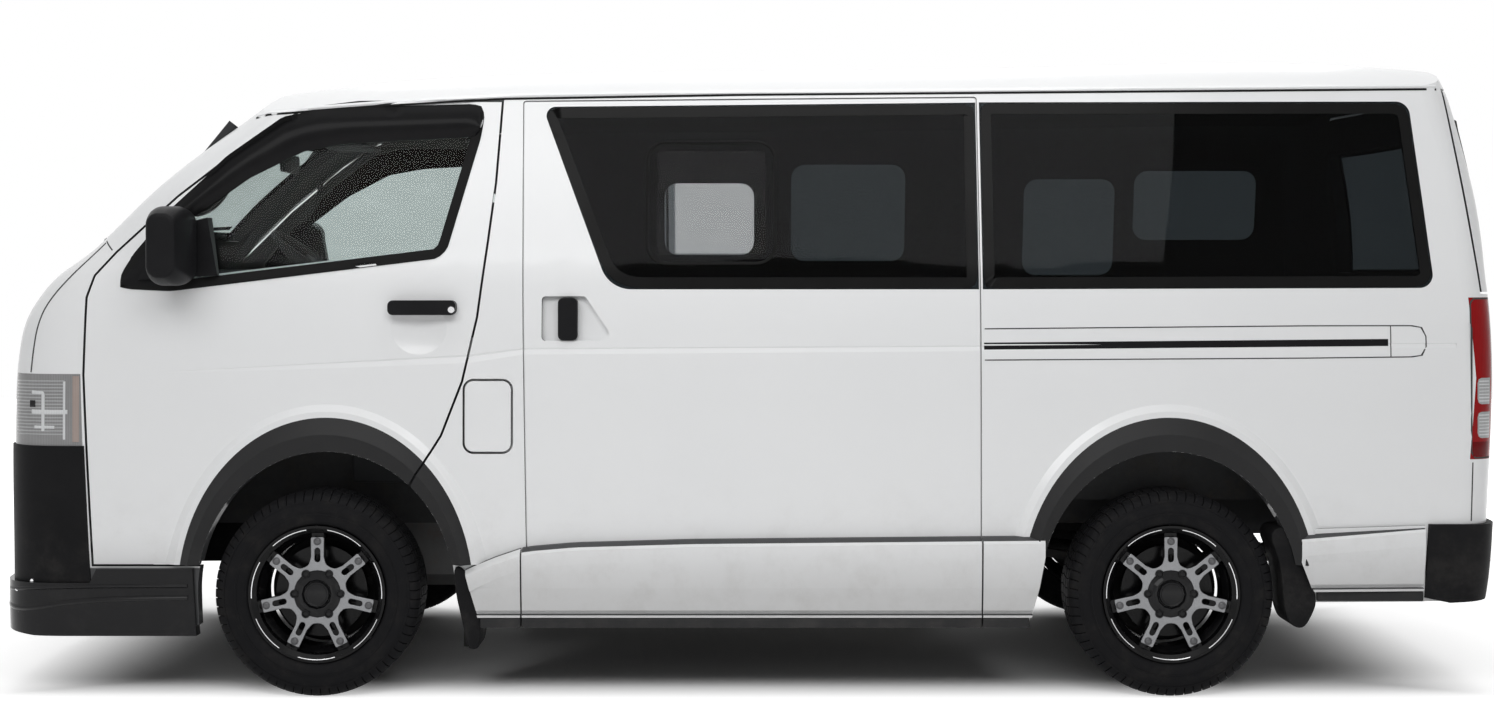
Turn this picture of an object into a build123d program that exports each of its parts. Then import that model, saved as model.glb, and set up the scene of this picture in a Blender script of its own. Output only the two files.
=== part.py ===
from build123d import *
from math import atan, cos, sin
import os

# Panel van with a long wheelbase, all sizes in millimetres.
# Front is -X, the left side is -Y, up is +Z, and the ground is Z = 0.

# ---- overall body ----
WHEELBASE = 2570
FRONT_OVERHANG = 1024
REAR_OVERHANG = 1048
HALF_WIDTH = 848
ROOF_Z = 1975
BELT_Z = 1144
WALL = 45
FRONT_AXLE = -WHEELBASE / 2
REAR_AXLE = WHEELBASE / 2
NOSE = FRONT_AXLE - FRONT_OVERHANG
TAIL = REAR_AXLE + REAR_OVERHANG
GREENHOUSE = ROOF_Z - BELT_Z
FAR = 2 * HALF_WIDTH

# ---- clearances ----
FIT = 0.3
DOOR_GAP = 7
SEAM_WIDTH = 4
FLOOR_EDGE = 12
SEAM_DEPTH = 10
STOP_Z = 1050
STOP_HEIGHT = 60
RUNNING_FIT = 0.05

# ---- panels between the axles ----
B_PILLAR = FRONT_AXLE + 620
C_PILLAR = REAR_AXLE - 572
DOOR_REAR = FRONT_AXLE + 541
DOOR_FRONT = FRONT_AXLE - 699
STOP_FACE_Y = -(HALF_WIDTH - 6.7 - WALL - FIT)
SILL_Z = 213
DOOR_FLOOR_Z = 250
CREASE_DEPTH = 7
CREASE_Z = 1046
CREASE_RISE = 13
CREASE_FALL = 32
ROCKER_PROUD = 9
GLASS_THICK = 6
GLASS_LAND = 26
GLASS_SET = 2
HOOD_CORNER = 133
HOOD_HALF = HALF_WIDTH - HOOD_CORNER
DISH_RADIUS = 300
DISH_DEPTH = 12

# ---- floor ----
FLOOR_Z = 620
FLOOR_THICK = 50
FLOOR_BOTTOM = FLOOR_Z - FLOOR_THICK
RAIL_Y = 440
FIREWALL_X = FRONT_AXLE - 770
RAIL_WIDTH = 70
RAIL_HEIGHT = 90

# ---- wheels and arches ----
TYRE_RADIUS = 310
TYRE_WIDTH = 195
TYRE_PROUD = 12
TYRE_OUTER_Y = HALF_WIDTH + TYRE_PROUD
RIM_RADIUS = 206
RIM_WALL = 7
SPOKES = 7
SPOKE_WIDTH = 40
STUDS = 6
STUD_CIRCLE = 45
SPINDLE_RADIUS = 24
KINGPIN_RADIUS = 14
TYRE_Y = TYRE_OUTER_Y - TYRE_WIDTH / 2
KINGPIN_Y = TYRE_Y - 70
ARCH_HALF = 388
ARCH_TOP = 430
FLARE_HALF = 446
FLARE_TOP = 536
FLARE_PROUD = 34
FLARE_BOTTOM = 400
RIDGE_HALF = (ARCH_HALF + FLARE_HALF) / 2
RIDGE_TOP = (ARCH_TOP + FLARE_TOP) / 2
BULGE_PROUD = 11
BULGE_SPREAD = 50
FRONT_ARCH_SHIFT = 28
REAR_ARCH_SHIFT = -9
WHEEL_BOX_HALF = 400
WHEEL_BOX_Z = 745
WHEEL_BOX_WALL = 12


def up(share):
    """Height of a point in the glazed upper half, 0 at the belt and 1 at the roof."""
    return BELT_Z + share * GREENHOUSE


# Plan outline at each height: height, tuck of the side, set-back of the nose,
# bow of the front, half-width and depth of the front corner, set-forward of the tail.
STATIONS = [
    (180, 30, 10, 55, 150, 215, 60),
    (330, 10, 14, 55, 150, 215, 30),
    (500, 2, 15, 55, 150, 215, 18),
    (700, 0, 13, 55, 150, 215, 8),
    (900, 0.5, 16, 55, 150, 215, 0),
    (up(-0.1), 5, 28, 55, 150, 215, 0),
    (up(0), 10, 50, 55, 150, 215, 3),
    (up(0.075), 16, 86, 56, 148, 210, 7),
    (up(0.15), 24, 139, 59, 140, 200, 12),
    (up(0.225), 36, 219, 66, 120, 175, 14),
    (up(0.3), 48, 284, 73, 100, 150, 17),
    (up(0.45), 71, 401, 83, 75, 120, 30),
    (up(0.6), 96, 542, 88, 70, 110, 52),
    (up(0.75), 120, 704, 90, 70, 110, 78),
    (up(0.865), 140, 829, 90, 70, 110, 106),
    (up(1.02), 168, 999, 90, 70, 110, 162),
]
TAIL_CORNER = 110
TAIL_BOW = 50

# Roof sections: place along the van, drop of the gutter, drop of the crown.
ROOF_SECTIONS = [
    (NOSE - 60, 300, 210),
    (FRONT_AXLE - 300, 222, 150),
    (FRONT_AXLE - 110, 199, 92),
    (FRONT_AXLE + 160, 178, 60),
    (FRONT_AXLE + 535, 155, 38),
    (0, 145, 24),
    (REAR_AXLE - 300, 136, 10),
    (REAR_AXLE + 700, 124, 10),
    (REAR_AXLE + 900, 123, 30),
    (TAIL + 60, 126, 60),
]
GUTTER_Y = 715
ROOF_FORM_Y = HALF_WIDTH + 60


def end_tangent(bow, half):
    """Direction of a bowed end's arc where it meets its left corner, moving to the right side."""
    angle = 2 * atan(bow / half)
    return (sin(angle), cos(angle))


def plan_body(inset):
    """Solid of the outer body, shrunk by an inset, before the roof is domed."""
    with BuildPart() as plan:
        for height, tuck, nose, bow, side, corner, tail in STATIONS:
            wide = HALF_WIDTH - tuck - inset
            nose_x = NOSE + nose + inset
            shoulder_x = nose_x + bow
            shoulder_y = wide - side
            side_x = shoulder_x + corner
            tail_x = TAIL - tail - inset
            rear_x = tail_x - TAIL_BOW
            rear_y = wide - TAIL_CORNER
            rear_side_x = rear_x - TAIL_CORNER
            lean, across = end_tangent(bow, shoulder_y)
            tail_lean, tail_across = end_tangent(TAIL_BOW, rear_y)
            with BuildSketch(Plane.XY.offset(height)):
                with BuildLine():
                    Spline(
                        (side_x, -wide),
                        (shoulder_x, -shoulder_y),
                        tangents=[(-1, 0), (-lean, across)],
                    )
                    ThreePointArc((shoulder_x, -shoulder_y), (nose_x, 0), (shoulder_x, shoulder_y))
                    Spline(
                        (shoulder_x, shoulder_y),
                        (side_x, wide),
                        tangents=[(lean, across), (1, 0)],
                    )
                    Line((side_x, wide), (rear_side_x, wide))
                    Spline(
                        (rear_side_x, wide),
                        (rear_x, rear_y),
                        tangents=[(1, 0), (tail_lean, -tail_across)],
                    )
                    ThreePointArc((rear_x, rear_y), (tail_x, 0), (rear_x, -rear_y))
                    Spline(
                        (rear_x, -rear_y),
                        (rear_side_x, -wide),
                        tangents=[(-tail_lean, -tail_across), (-1, 0)],
                    )
                    Line((rear_side_x, -wide), (side_x, -wide))
                make_face()
        loft()
    return plan.part


def roof_form(inset):
    """Solid below the domed roof, lowered by an inset."""
    with BuildPart() as roof:
        for place, gutter_drop, crown_drop in ROOF_SECTIONS:
            gutter = ROOF_Z - gutter_drop - inset
            rise = gutter_drop - crown_drop
            with BuildSketch(Plane.YZ.offset(place)):
                with BuildLine():
                    Spline(
                        (-ROOF_FORM_Y, gutter - 170),
                        (-GUTTER_Y, gutter),
                        (-0.78 * GUTTER_Y, gutter + 0.55 * rise),
                        (-0.42 * GUTTER_Y, gutter + 0.88 * rise),
                        (0, gutter + rise),
                        (0.42 * GUTTER_Y, gutter + 0.88 * rise),
                        (0.78 * GUTTER_Y, gutter + 0.55 * rise),
                        (GUTTER_Y, gutter),
                        (ROOF_FORM_Y, gutter - 170),
                    )
                    Polyline(
                        (ROOF_FORM_Y, gutter - 170),
                        (ROOF_FORM_Y, 100),
                        (-ROOF_FORM_Y, 100),
                        (-ROOF_FORM_Y, gutter - 170),
                    )
                make_face()
        loft()
    return roof.part


def hull(inset):
    """Left half of the outer form of the body, shrunk by an inset."""
    with BuildPart() as form:
        add(plan_body(inset))
        add(roof_form(inset), mode=Mode.INTERSECT)
        split(bisect_by=Plane.XZ)
    return form.part


# ---- side outlines, drawn on the XZ plane ----

with BuildSketch(Plane.XZ) as door_outline:
    with BuildLine():
        Polyline(
            (FRONT_AXLE + 277, 641),
            (FRONT_AXLE + 370, 789),
            (FRONT_AXLE + 433, 951),
            (FRONT_AXLE + 477, up(0)),
            (FRONT_AXLE + 506, up(0.28)),
            (DOOR_REAR - 15, up(0.49)),
            (DOOR_REAR, up(0.79)),
            (FRONT_AXLE + 96, up(0.79)),
            (FRONT_AXLE - 57, up(0.765)),
            (FRONT_AXLE - 227, up(0.638)),
            (FRONT_AXLE - 434, up(0.437)),
            (FRONT_AXLE - 613, up(0.232)),
            (FRONT_AXLE - 673, up(0.148)),
            (FRONT_AXLE - 694, up(0.07)),
            (FRONT_AXLE - 699, 969),
            (FRONT_AXLE - 689, 744),
            (FRONT_AXLE - 672, 400),
            (FRONT_AXLE + 277, 400),
            close=True,
        )
    make_face()

with BuildSketch(Plane.XZ) as door_window_outline:
    with BuildLine():
        Polyline(
            (FRONT_AXLE - 585, up(0.115)),
            (FRONT_AXLE - 445, up(0.105)),
            (FRONT_AXLE + 362, up(0.22)),
            (FRONT_AXLE + 388, up(0.26)),
            (FRONT_AXLE + 478, up(0.66)),
            (FRONT_AXLE + 478, up(0.755)),
            (FRONT_AXLE - 14, up(0.755)),
            (FRONT_AXLE - 125, up(0.72)),
            (FRONT_AXLE - 288, up(0.575)),
            (FRONT_AXLE - 445, up(0.395)),
            (FRONT_AXLE - 570, up(0.215)),
            close=True,
        )
    make_face()
    fillet(door_window_outline.vertices(), radius=18)

with BuildSketch(Plane.XZ) as sliding_outline:
    with BuildLine():
        Polyline(
            (B_PILLAR + 12, DOOR_FLOOR_Z),
            (C_PILLAR + 2, DOOR_FLOOR_Z),
            (C_PILLAR, up(0.81)),
            (B_PILLAR - 13, up(0.795)),
            close=True,
        )
    make_face()
    fillet(sliding_outline.vertices(), radius=10)

with BuildSketch(Plane.XZ) as sliding_glass_outline:
    with BuildLine():
        Polyline(
            (B_PILLAR + 47, up(0.772)),
            (B_PILLAR + 258, up(0.1)),
            (C_PILLAR - 5, up(0.1)),
            (C_PILLAR - 5, up(0.788)),
            close=True,
        )
    make_face()
    fillet(sliding_glass_outline.vertices().sort_by(Axis.X)[:1], radius=28)
    fillet(sliding_glass_outline.vertices().group_by(Axis.Y)[0].sort_by(Axis.X)[:1], radius=95)

with BuildSketch(Plane.XZ) as quarter_glass_outline:
    with BuildLine():
        Polyline(
            (C_PILLAR + 7, up(0.1)),
            (REAR_AXLE + 797, up(0.105)),
            (REAR_AXLE + 752, up(0.792)),
            (C_PILLAR + 7, up(0.789)),
            close=True,
        )
    make_face()
    fillet(quarter_glass_outline.vertices().sort_by(Axis.X)[-2:], radius=42)

with BuildSketch(Plane.XZ) as arch_outlines:
    with Locations(
        (FRONT_AXLE + FRONT_ARCH_SHIFT, TYRE_RADIUS),
        (REAR_AXLE + REAR_ARCH_SHIFT, TYRE_RADIUS),
    ):
        Ellipse(ARCH_HALF, ARCH_TOP)
    Polygon(
        (FRONT_AXLE - 360, TYRE_RADIUS),
        (FRONT_AXLE + 415, TYRE_RADIUS + 60),
        (FRONT_AXLE + 520, 150),
        (FRONT_AXLE - 360, 150),
        align=None,
    )
    Polygon(
        (REAR_AXLE - 380, TYRE_RADIUS + 150),
        (REAR_AXLE + 364, TYRE_RADIUS + 170),
        (REAR_AXLE + 480, 150),
        (REAR_AXLE - 440, 150),
        align=None,
    )

with BuildSketch(Plane.XZ) as underside_outline:
    Polygon(
        (NOSE - 100, 100),
        (TAIL + 100, 100),
        (TAIL + 100, 290),
        (REAR_AXLE + 400, 285),
        (REAR_AXLE, SILL_Z),
        (NOSE - 100, SILL_Z),
        align=None,
    )

with BuildSketch(Plane.XZ) as flap_outline:
    with Locations((FRONT_AXLE + 514, 845)):
        RectangleRounded(138, 212, 26)

with BuildSketch(Plane.XZ) as tail_light_outline:
    with BuildLine():
        Polyline(
            (REAR_AXLE + 898, 716),
            (TAIL + 60, 716),
            (TAIL + 60, up(0.07)),
            (REAR_AXLE + 898, up(0.07)),
            (REAR_AXLE + 918, 960),
            close=True,
        )
    make_face()

# ---- outlines seen from the front and the rear, drawn on the YZ plane ----

with BuildSketch(Plane.YZ) as windscreen_outline:
    with BuildLine():
        Polyline(
            (-716, up(0.27)),
            (716, up(0.27)),
            (648, up(0.775)),
            (-648, up(0.775)),
            close=True,
        )
    make_face()
    fillet(windscreen_outline.vertices(), radius=40)

with BuildSketch(Plane.YZ) as hood_outline:
    with BuildLine():
        Polyline((-HOOD_HALF, 986), (HOOD_HALF, 986), (HOOD_HALF, up(0.2)), (-HOOD_HALF, up(0.2)), close=True)
    make_face()
    fillet(hood_outline.vertices(), radius=25)

with BuildSketch(Plane.YZ) as grille_outline:
    Polygon((-430, 968), (430, 968), (400, 770), (-400, 770), align=None)

with BuildSketch(Plane.YZ) as tailgate_low_outline:
    with Locations((0, (540 + up(0.1)) / 2)):
        Rectangle(1290, up(0.1) - 540)

with BuildSketch(Plane.YZ) as tailgate_glass_outline:
    with BuildLine():
        Polyline(
            (-700, up(0.13)),
            (700, up(0.13)),
            (640, up(0.72)),
            (-640, up(0.72)),
            close=True,
        )
    make_face()
    fillet(tailgate_glass_outline.vertices(), radius=45)

with BuildSketch(Plane.XZ) as tailgate_high_outline:
    with BuildLine():
        Polyline(
            (REAR_AXLE + 946, up(0.09)),
            (TAIL + 60, up(0.09)),
            (TAIL + 60, up(0.835)),
            (REAR_AXLE + 871, up(0.835)),
            close=True,
        )
    make_face()


def grown(outline, amount):
    """Side outline, wider all round by an amount."""
    with BuildSketch(Plane.XZ) as wider:
        add(outline.sketch_local)
        offset(amount=amount, kind=Kind.INTERSECTION)
    return wider.sketch


def grown_front(outline, amount):
    """Front or rear outline, wider all round by an amount."""
    with BuildSketch(Plane.YZ) as wider:
        add(outline.sketch_local)
        offset(amount=amount, kind=Kind.INTERSECTION)
    return wider.sketch


def side_panel(outer, inner, outline, reach=FAR):
    """Part of the hull wall behind a side outline, left side when reach is one-sided."""
    with BuildPart() as panel:
        add(outer)
        extrude(outline, amount=reach, mode=Mode.INTERSECT)
        add(inner, mode=Mode.SUBTRACT)
    return panel.part


def end_panel(outer, inner, outline, reach):
    """Part of the hull wall behind a front (reach < 0) or rear (reach > 0) outline."""
    with BuildPart() as panel:
        add(outer)
        extrude(outline, amount=reach, mode=Mode.INTERSECT)
        add(inner, mode=Mode.SUBTRACT)
    return panel.part


def flipped(piece):
    """The same piece on the other side of the van."""
    with BuildPart() as other:
        add(piece)
        mirror(about=Plane.XZ, mode=Mode.REPLACE)
    return other.part


# ---- outer form with its arches, crease and rocker ----

with BuildSketch(Plane.XZ) as rocker_outline:
    with BuildLine():
        Polyline(
            (FRONT_AXLE + 430, SILL_Z),
            (REAR_AXLE + 762, SILL_Z),
            (REAR_AXLE + 762, 518),
            (C_PILLAR, 475),
            (B_PILLAR + 20, 451),
            (FRONT_AXLE + 475, 386),
            close=True,
        )
    make_face()

with BuildPart() as crease_cut:
    for place, height, depth in (
        (FRONT_AXLE - 505, CREASE_Z - 70, 2),
        (FRONT_AXLE + 463, CREASE_Z - 21, CREASE_DEPTH),
        (B_PILLAR, CREASE_Z, CREASE_DEPTH),
        (TAIL - 190, CREASE_Z + 17, CREASE_DEPTH),
    ):
        with BuildSketch(Plane.YZ.offset(place)):
            with BuildLine():
                Polyline(
                    (-HALF_WIDTH - 4, height - CREASE_FALL * 1.6),
                    (-HALF_WIDTH - 4, height + CREASE_RISE * 1.6),
                    (-HALF_WIDTH + depth, height),
                    close=True,
                )
            make_face()
    loft(ruled=True)

with BuildPart() as bulges:
    for place in (FRONT_AXLE + FRONT_ARCH_SHIFT, REAR_AXLE + REAR_ARCH_SHIFT):
        with BuildSketch(Plane.XZ.offset(HALF_WIDTH - 40)):
            with Locations((place, TYRE_RADIUS)):
                Ellipse(FLARE_HALF + 2.2 * BULGE_SPREAD, FLARE_TOP + 2.2 * BULGE_SPREAD)
        with BuildSketch(Plane.XZ.offset(HALF_WIDTH + BULGE_PROUD)):
            with Locations((place, TYRE_RADIUS)):
                Ellipse(FLARE_HALF + 14, FLARE_TOP + 14)
        loft()
    with BuildSketch(Plane.XZ):
        with Locations((0, -ROOF_Z + 400)):
            Rectangle(2 * FAR + WHEELBASE, 2 * ROOF_Z)
    extrude(amount=FAR, mode=Mode.SUBTRACT)

rocker = side_panel(hull(-ROCKER_PROUD), hull(WALL), rocker_outline.sketch)

with BuildPart() as outer_form:
    add(hull(0))
    add(bulges.part)
    add(rocker)
    add(crease_cut.part, mode=Mode.SUBTRACT)

outer = outer_form.part
inner = hull(WALL)
core = hull(SEAM_DEPTH)
glass_outer = hull(GLASS_SET)
glass_inner = hull(GLASS_SET + GLASS_THICK)
glass_bed = hull(GLASS_SET + GLASS_THICK + FIT)


def cutter(outline, form, amount=FAR):
    """Prism of an outline, outside a form: what a recess in the skin takes away."""
    with BuildPart() as prism:
        extrude(outline, amount=amount)
        add(form, mode=Mode.SUBTRACT)
    return prism.part


def step_back(outline, depth_form, amount):
    """Ring inside an outline and under a form, cut from the inner edge of a swinging panel."""
    with BuildPart() as ring:
        add(depth_form)
        extrude(grown(outline, DOOR_GAP), amount=FAR, mode=Mode.INTERSECT)
        extrude(grown(outline, -amount), amount=FAR, mode=Mode.SUBTRACT)
    return ring.part


# ---- front doors ----

with BuildPart() as front_left_door:
    add(side_panel(outer, inner, door_outline.sketch))
    add(step_back(door_outline, core, DOOR_GAP + 1), mode=Mode.SUBTRACT)
    extrude(arch_outlines.sketch, amount=FAR, mode=Mode.SUBTRACT)
    add(cutter(grown(door_window_outline, FIT), glass_bed), mode=Mode.SUBTRACT)
    extrude(grown(door_window_outline, -GLASS_LAND), amount=FAR, mode=Mode.SUBTRACT)
    with Locations((FRONT_AXLE + 306, -(HALF_WIDTH - 8 - DISH_DEPTH + DISH_RADIUS), 1128)):
        Sphere(DISH_RADIUS, mode=Mode.SUBTRACT)

with BuildPart() as front_left_glass:
    add(side_panel(glass_outer, glass_inner, door_window_outline.sketch))

# ---- sliding doors ----

with BuildPart() as sliding_seam:
    add(cutter(sliding_outline.sketch, core))
    extrude(grown(sliding_outline, -SEAM_WIDTH), amount=FAR, mode=Mode.SUBTRACT)

with BuildSketch(Plane.XZ) as sliding_handle_recess:
    with BuildLine():
        Polyline(
            (B_PILLAR + 55, 1072),
            (B_PILLAR + 235, 1072),
            (B_PILLAR + 262, 1095),
            (B_PILLAR + 185, 1206),
            (B_PILLAR + 55, 1206),
            close=True,
        )
    make_face()
    fillet(sliding_handle_recess.vertices(), radius=12)
recess_floor = hull(22)

with BuildPart() as left_sliding_door:
    add(side_panel(outer, inner, sliding_outline.sketch))
    extrude(arch_outlines.sketch, amount=FAR, mode=Mode.SUBTRACT)
    add(sliding_seam.part, mode=Mode.SUBTRACT)
    add(cutter(sliding_handle_recess.sketch, recess_floor), mode=Mode.SUBTRACT)
    add(cutter(grown(sliding_glass_outline, FIT), glass_bed), mode=Mode.SUBTRACT)
    extrude(grown(sliding_glass_outline, -GLASS_LAND), amount=FAR, mode=Mode.SUBTRACT)

with BuildPart() as side_glass:
    add(side_panel(glass_outer, glass_inner, sliding_glass_outline.sketch))
    add(side_panel(glass_outer, glass_inner, quarter_glass_outline.sketch))
    mirror(about=Plane.XZ)

# ---- tailgate ----

with BuildPart() as tailgate_upper:
    add(outer)
    extrude(tailgate_high_outline.sketch, amount=FAR, mode=Mode.INTERSECT)
    add(inner, mode=Mode.SUBTRACT)

with BuildPart() as tailgate:
    add(end_panel(outer, inner, tailgate_low_outline.sketch, 2 * FAR))
    add(tailgate_upper.part)
    add(cutter(grown_front(tailgate_glass_outline, FIT), glass_bed, 2 * FAR), mode=Mode.SUBTRACT)
    extrude(grown_front(tailgate_glass_outline, -GLASS_LAND), amount=2 * FAR, mode=Mode.SUBTRACT)
    mirror(about=Plane.XZ)

with BuildPart() as tailgate_glass:
    add(end_panel(glass_outer, glass_inner, tailgate_glass_outline.sketch, 2 * FAR))
    mirror(about=Plane.XZ)

# ---- front end ----

with BuildPart() as hood:
    add(end_panel(outer, inner, hood_outline.sketch, -2 * FAR))
    mirror(about=Plane.XZ)

with BuildPart() as windscreen:
    add(end_panel(glass_outer, glass_inner, windscreen_outline.sketch, -2 * FAR))
    mirror(about=Plane.XZ)

with BuildPart() as grille:
    add(end_panel(outer, inner, grille_outline.sketch, -2 * FAR))
    mirror(about=Plane.XZ)

with BuildSketch(Plane.XZ) as headlight_outline:
    Polygon(
        (FRONT_AXLE - 1200, 756 + FIT),
        (FRONT_AXLE - 705, 756 + FIT),
        (FRONT_AXLE - 712, 972),
        (FRONT_AXLE - 1200, 972),
        align=None,
    )

with BuildSketch(Plane.XZ) as front_bumper_outline:
    Polygon(
        (FRONT_AXLE - 1200, 756),
        (FRONT_AXLE - 700, 756),
        (FRONT_AXLE - 682, 345),
        (FRONT_AXLE - 1200, 345),
        align=None,
    )

with BuildPart() as headlights:
    add(outer)
    extrude(headlight_outline.sketch, amount=FAR, mode=Mode.INTERSECT)
    add(inner, mode=Mode.SUBTRACT)
    with BuildSketch(Plane.YZ):
        with Locations((0, 870)):
            Rectangle(2 * (430 + FIT), 260)
    extrude(amount=-2 * FAR, mode=Mode.SUBTRACT)
    mirror(about=Plane.XZ)

bumper_form = hull(-5)
with BuildPart() as front_bumper:
    add(bumper_form)
    extrude(front_bumper_outline.sketch, amount=FAR, mode=Mode.INTERSECT)
    add(inner, mode=Mode.SUBTRACT)
    with BuildSketch(Plane.YZ):
        with Locations((0, 470)):
            RectangleRounded(900, 130, 30)
    extrude(amount=-2 * FAR, mode=Mode.SUBTRACT)
    mirror(about=Plane.XZ)

with BuildSketch(Plane.XZ) as lip_outline:
    Polygon(
        (FRONT_AXLE - 1200, 345 - FIT),
        (FRONT_AXLE - 682, 345 - FIT),
        (FRONT_AXLE - 660, 388),
        (FRONT_AXLE - 372, 388),
        (FRONT_AXLE - 366, 182),
        (FRONT_AXLE - 860, 182),
        (FRONT_AXLE - 1200, 215),
        align=None,
    )

with BuildPart() as front_lip:
    add(hull(-16))
    extrude(lip_outline.sketch, amount=FAR, mode=Mode.INTERSECT)
    add(hull(30), mode=Mode.SUBTRACT)
    mirror(about=Plane.XZ)

with BuildSketch(Plane.XZ) as rear_bumper_outline:
    Polygon(
        (REAR_AXLE + 773, 521),
        (TAIL + 100, 521),
        (TAIL + 100, 300),
        (REAR_AXLE + 838, 284),
        (REAR_AXLE + 761, 300),
        align=None,
    )

with BuildPart() as rear_bumper:
    add(hull(-15))
    extrude(rear_bumper_outline.sketch, amount=FAR, mode=Mode.INTERSECT)
    add(inner, mode=Mode.SUBTRACT)
    mirror(about=Plane.XZ)

with BuildPart() as tail_lights:
    add(outer)
    extrude(tail_light_outline.sketch, amount=FAR, mode=Mode.INTERSECT)
    add(inner, mode=Mode.SUBTRACT)
    with BuildSketch(Plane.YZ):
        with Locations((0, 960)):
            Rectangle(2 * (645 + DOOR_GAP), 600)
    extrude(amount=2 * FAR, mode=Mode.SUBTRACT)
    mirror(about=Plane.XZ)

with BuildPart() as fuel_flap:
    add(side_panel(outer, hull(8), flap_outline.sketch))

# ---- body shell ----


def door_edge(amount):
    return grown(door_outline, amount)


def sliding_edge(amount):
    return grown(sliding_outline, amount)


def tailgate_high_edge(amount):
    return grown(tailgate_high_outline, amount)


def tailgate_low_edge(amount):
    return grown_front(tailgate_low_outline, amount)


def hood_edge(amount):
    return grown_front(hood_outline, amount)


OPENINGS = (
    (door_edge, FAR, DOOR_GAP),
    (sliding_edge, FAR, FIT),
    (tailgate_high_edge, FAR, DOOR_GAP),
    (tailgate_low_edge, 2 * FAR, DOOR_GAP),
    (hood_edge, -2 * FAR, DOOR_GAP),
)

with BuildPart() as body_shell:
    add(outer)
    for outline in (headlight_outline, front_bumper_outline, lip_outline, rear_bumper_outline, tail_light_outline):
        extrude(grown(outline, FIT), amount=FAR, mode=Mode.SUBTRACT)
    extrude(arch_outlines.sketch, amount=FAR, mode=Mode.SUBTRACT)
    extrude(underside_outline.sketch, amount=FAR, mode=Mode.SUBTRACT)
    for edge, reach, gap in OPENINGS:
        extrude(edge(gap), amount=reach, mode=Mode.SUBTRACT)
    add(inner, mode=Mode.SUBTRACT)
    add(cutter(grown_front(windscreen_outline, FIT), glass_bed, -2 * FAR), mode=Mode.SUBTRACT)
    extrude(grown_front(windscreen_outline, -GLASS_LAND), amount=-2 * FAR, mode=Mode.SUBTRACT)
    add(cutter(grown(quarter_glass_outline, FIT), glass_bed), mode=Mode.SUBTRACT)
    extrude(grown(quarter_glass_outline, -GLASS_LAND), amount=FAR, mode=Mode.SUBTRACT)
    # door stops behind the front and rear edges of the front door
    for start, end in ((DOOR_FRONT - 45, DOOR_FRONT + 32), (DOOR_REAR - 95, B_PILLAR - 10)):
        with Locations(((start + end) / 2, STOP_FACE_Y, STOP_Z)):
            Box(end - start, 16, STOP_HEIGHT, align=(Align.CENTER, Align.MIN, Align.CENTER))
    for start, end in ((DOOR_FRONT - 45, DOOR_FRONT - 12), (DOOR_REAR - 20, B_PILLAR - 20)):
        with Locations(((start + end) / 2, STOP_FACE_Y, STOP_Z)):
            Box(end - start, 12, STOP_HEIGHT, align=(Align.CENTER, Align.MAX, Align.CENTER))
    mirror(about=Plane.XZ)
    # pocket behind the fuel flap
    add(cutter(grown(flap_outline, DOOR_GAP), hull(WALL - 8)), mode=Mode.SUBTRACT)
    with Locations((FRONT_AXLE + 462, -(HALF_WIDTH - 8 - FIT), 845)):
        Box(18, WALL - 14, 60, align=(Align.CENTER, Align.MIN, Align.CENTER))

# ---- wheel arch flares: two facets that meet at a ridge ----


def flare_ring(place):
    """Ring that stands off the body round one wheel arch, left side."""
    with BuildPart() as hollow:
        with BuildSketch(Plane.XZ.offset(HALF_WIDTH + FLARE_PROUD + 1)):
            with Locations((place, TYRE_RADIUS)):
                Ellipse(RIDGE_HALF, RIDGE_TOP)
        with BuildSketch(Plane.XZ.offset(HALF_WIDTH + BULGE_PROUD)):
            with Locations((place, TYRE_RADIUS)):
                Ellipse(ARCH_HALF, ARCH_TOP)
        loft()
    with BuildPart() as flare:
        with BuildSketch(Plane.XZ.offset(HALF_WIDTH + FLARE_PROUD)):
            with Locations((place, TYRE_RADIUS)):
                Ellipse(RIDGE_HALF, RIDGE_TOP)
        with BuildSketch(Plane.XZ.offset(HALF_WIDTH + BULGE_PROUD - 2)):
            with Locations((place, TYRE_RADIUS)):
                Ellipse(FLARE_HALF, FLARE_TOP)
        loft()
        with BuildSketch(Plane.XZ.offset(HALF_WIDTH - 20)):
            with Locations((place, TYRE_RADIUS)):
                Ellipse(FLARE_HALF, FLARE_TOP)
        extrude(amount=BULGE_PROUD + 18)
        add(hollow.part, mode=Mode.SUBTRACT)
        add(outer, mode=Mode.SUBTRACT)
        extrude(arch_outlines.sketch, amount=HALF_WIDTH, mode=Mode.SUBTRACT)
        with BuildSketch(Plane.XZ):
            with Locations((place, 0)):
                Rectangle(4 * FLARE_HALF, 2 * FLARE_BOTTOM)
        extrude(amount=FAR, mode=Mode.SUBTRACT)
    return flare.part


front_ring = flare_ring(FRONT_AXLE + FRONT_ARCH_SHIFT)
rear_ring = flare_ring(REAR_AXLE + REAR_ARCH_SHIFT)

with BuildPart() as front_left_flare:
    add(front_ring)
    extrude(door_outline.sketch, amount=FAR, mode=Mode.INTERSECT)

with BuildPart() as arch_flares:
    add(front_ring)
    extrude(grown(door_outline, DOOR_GAP), amount=FAR, mode=Mode.SUBTRACT)
    with BuildSketch(Plane.XZ):
        with Locations((FRONT_AXLE - FLARE_HALF, FLARE_BOTTOM)):
            Rectangle(2 * FLARE_HALF, 3 * FLARE_HALF)
    extrude(amount=FAR, mode=Mode.SUBTRACT)
    add(rear_ring)
    mirror(about=Plane.XZ)

# ---- door fittings ----

MIRROR_WIDTH = 190
MIRROR_HEIGHT = 232
MIRROR_DEPTH = 112
MIRROR_Y = HALF_WIDTH + 28
MIRROR_X = FRONT_AXLE - 411
MIRROR_Z = up(0.255)

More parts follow.
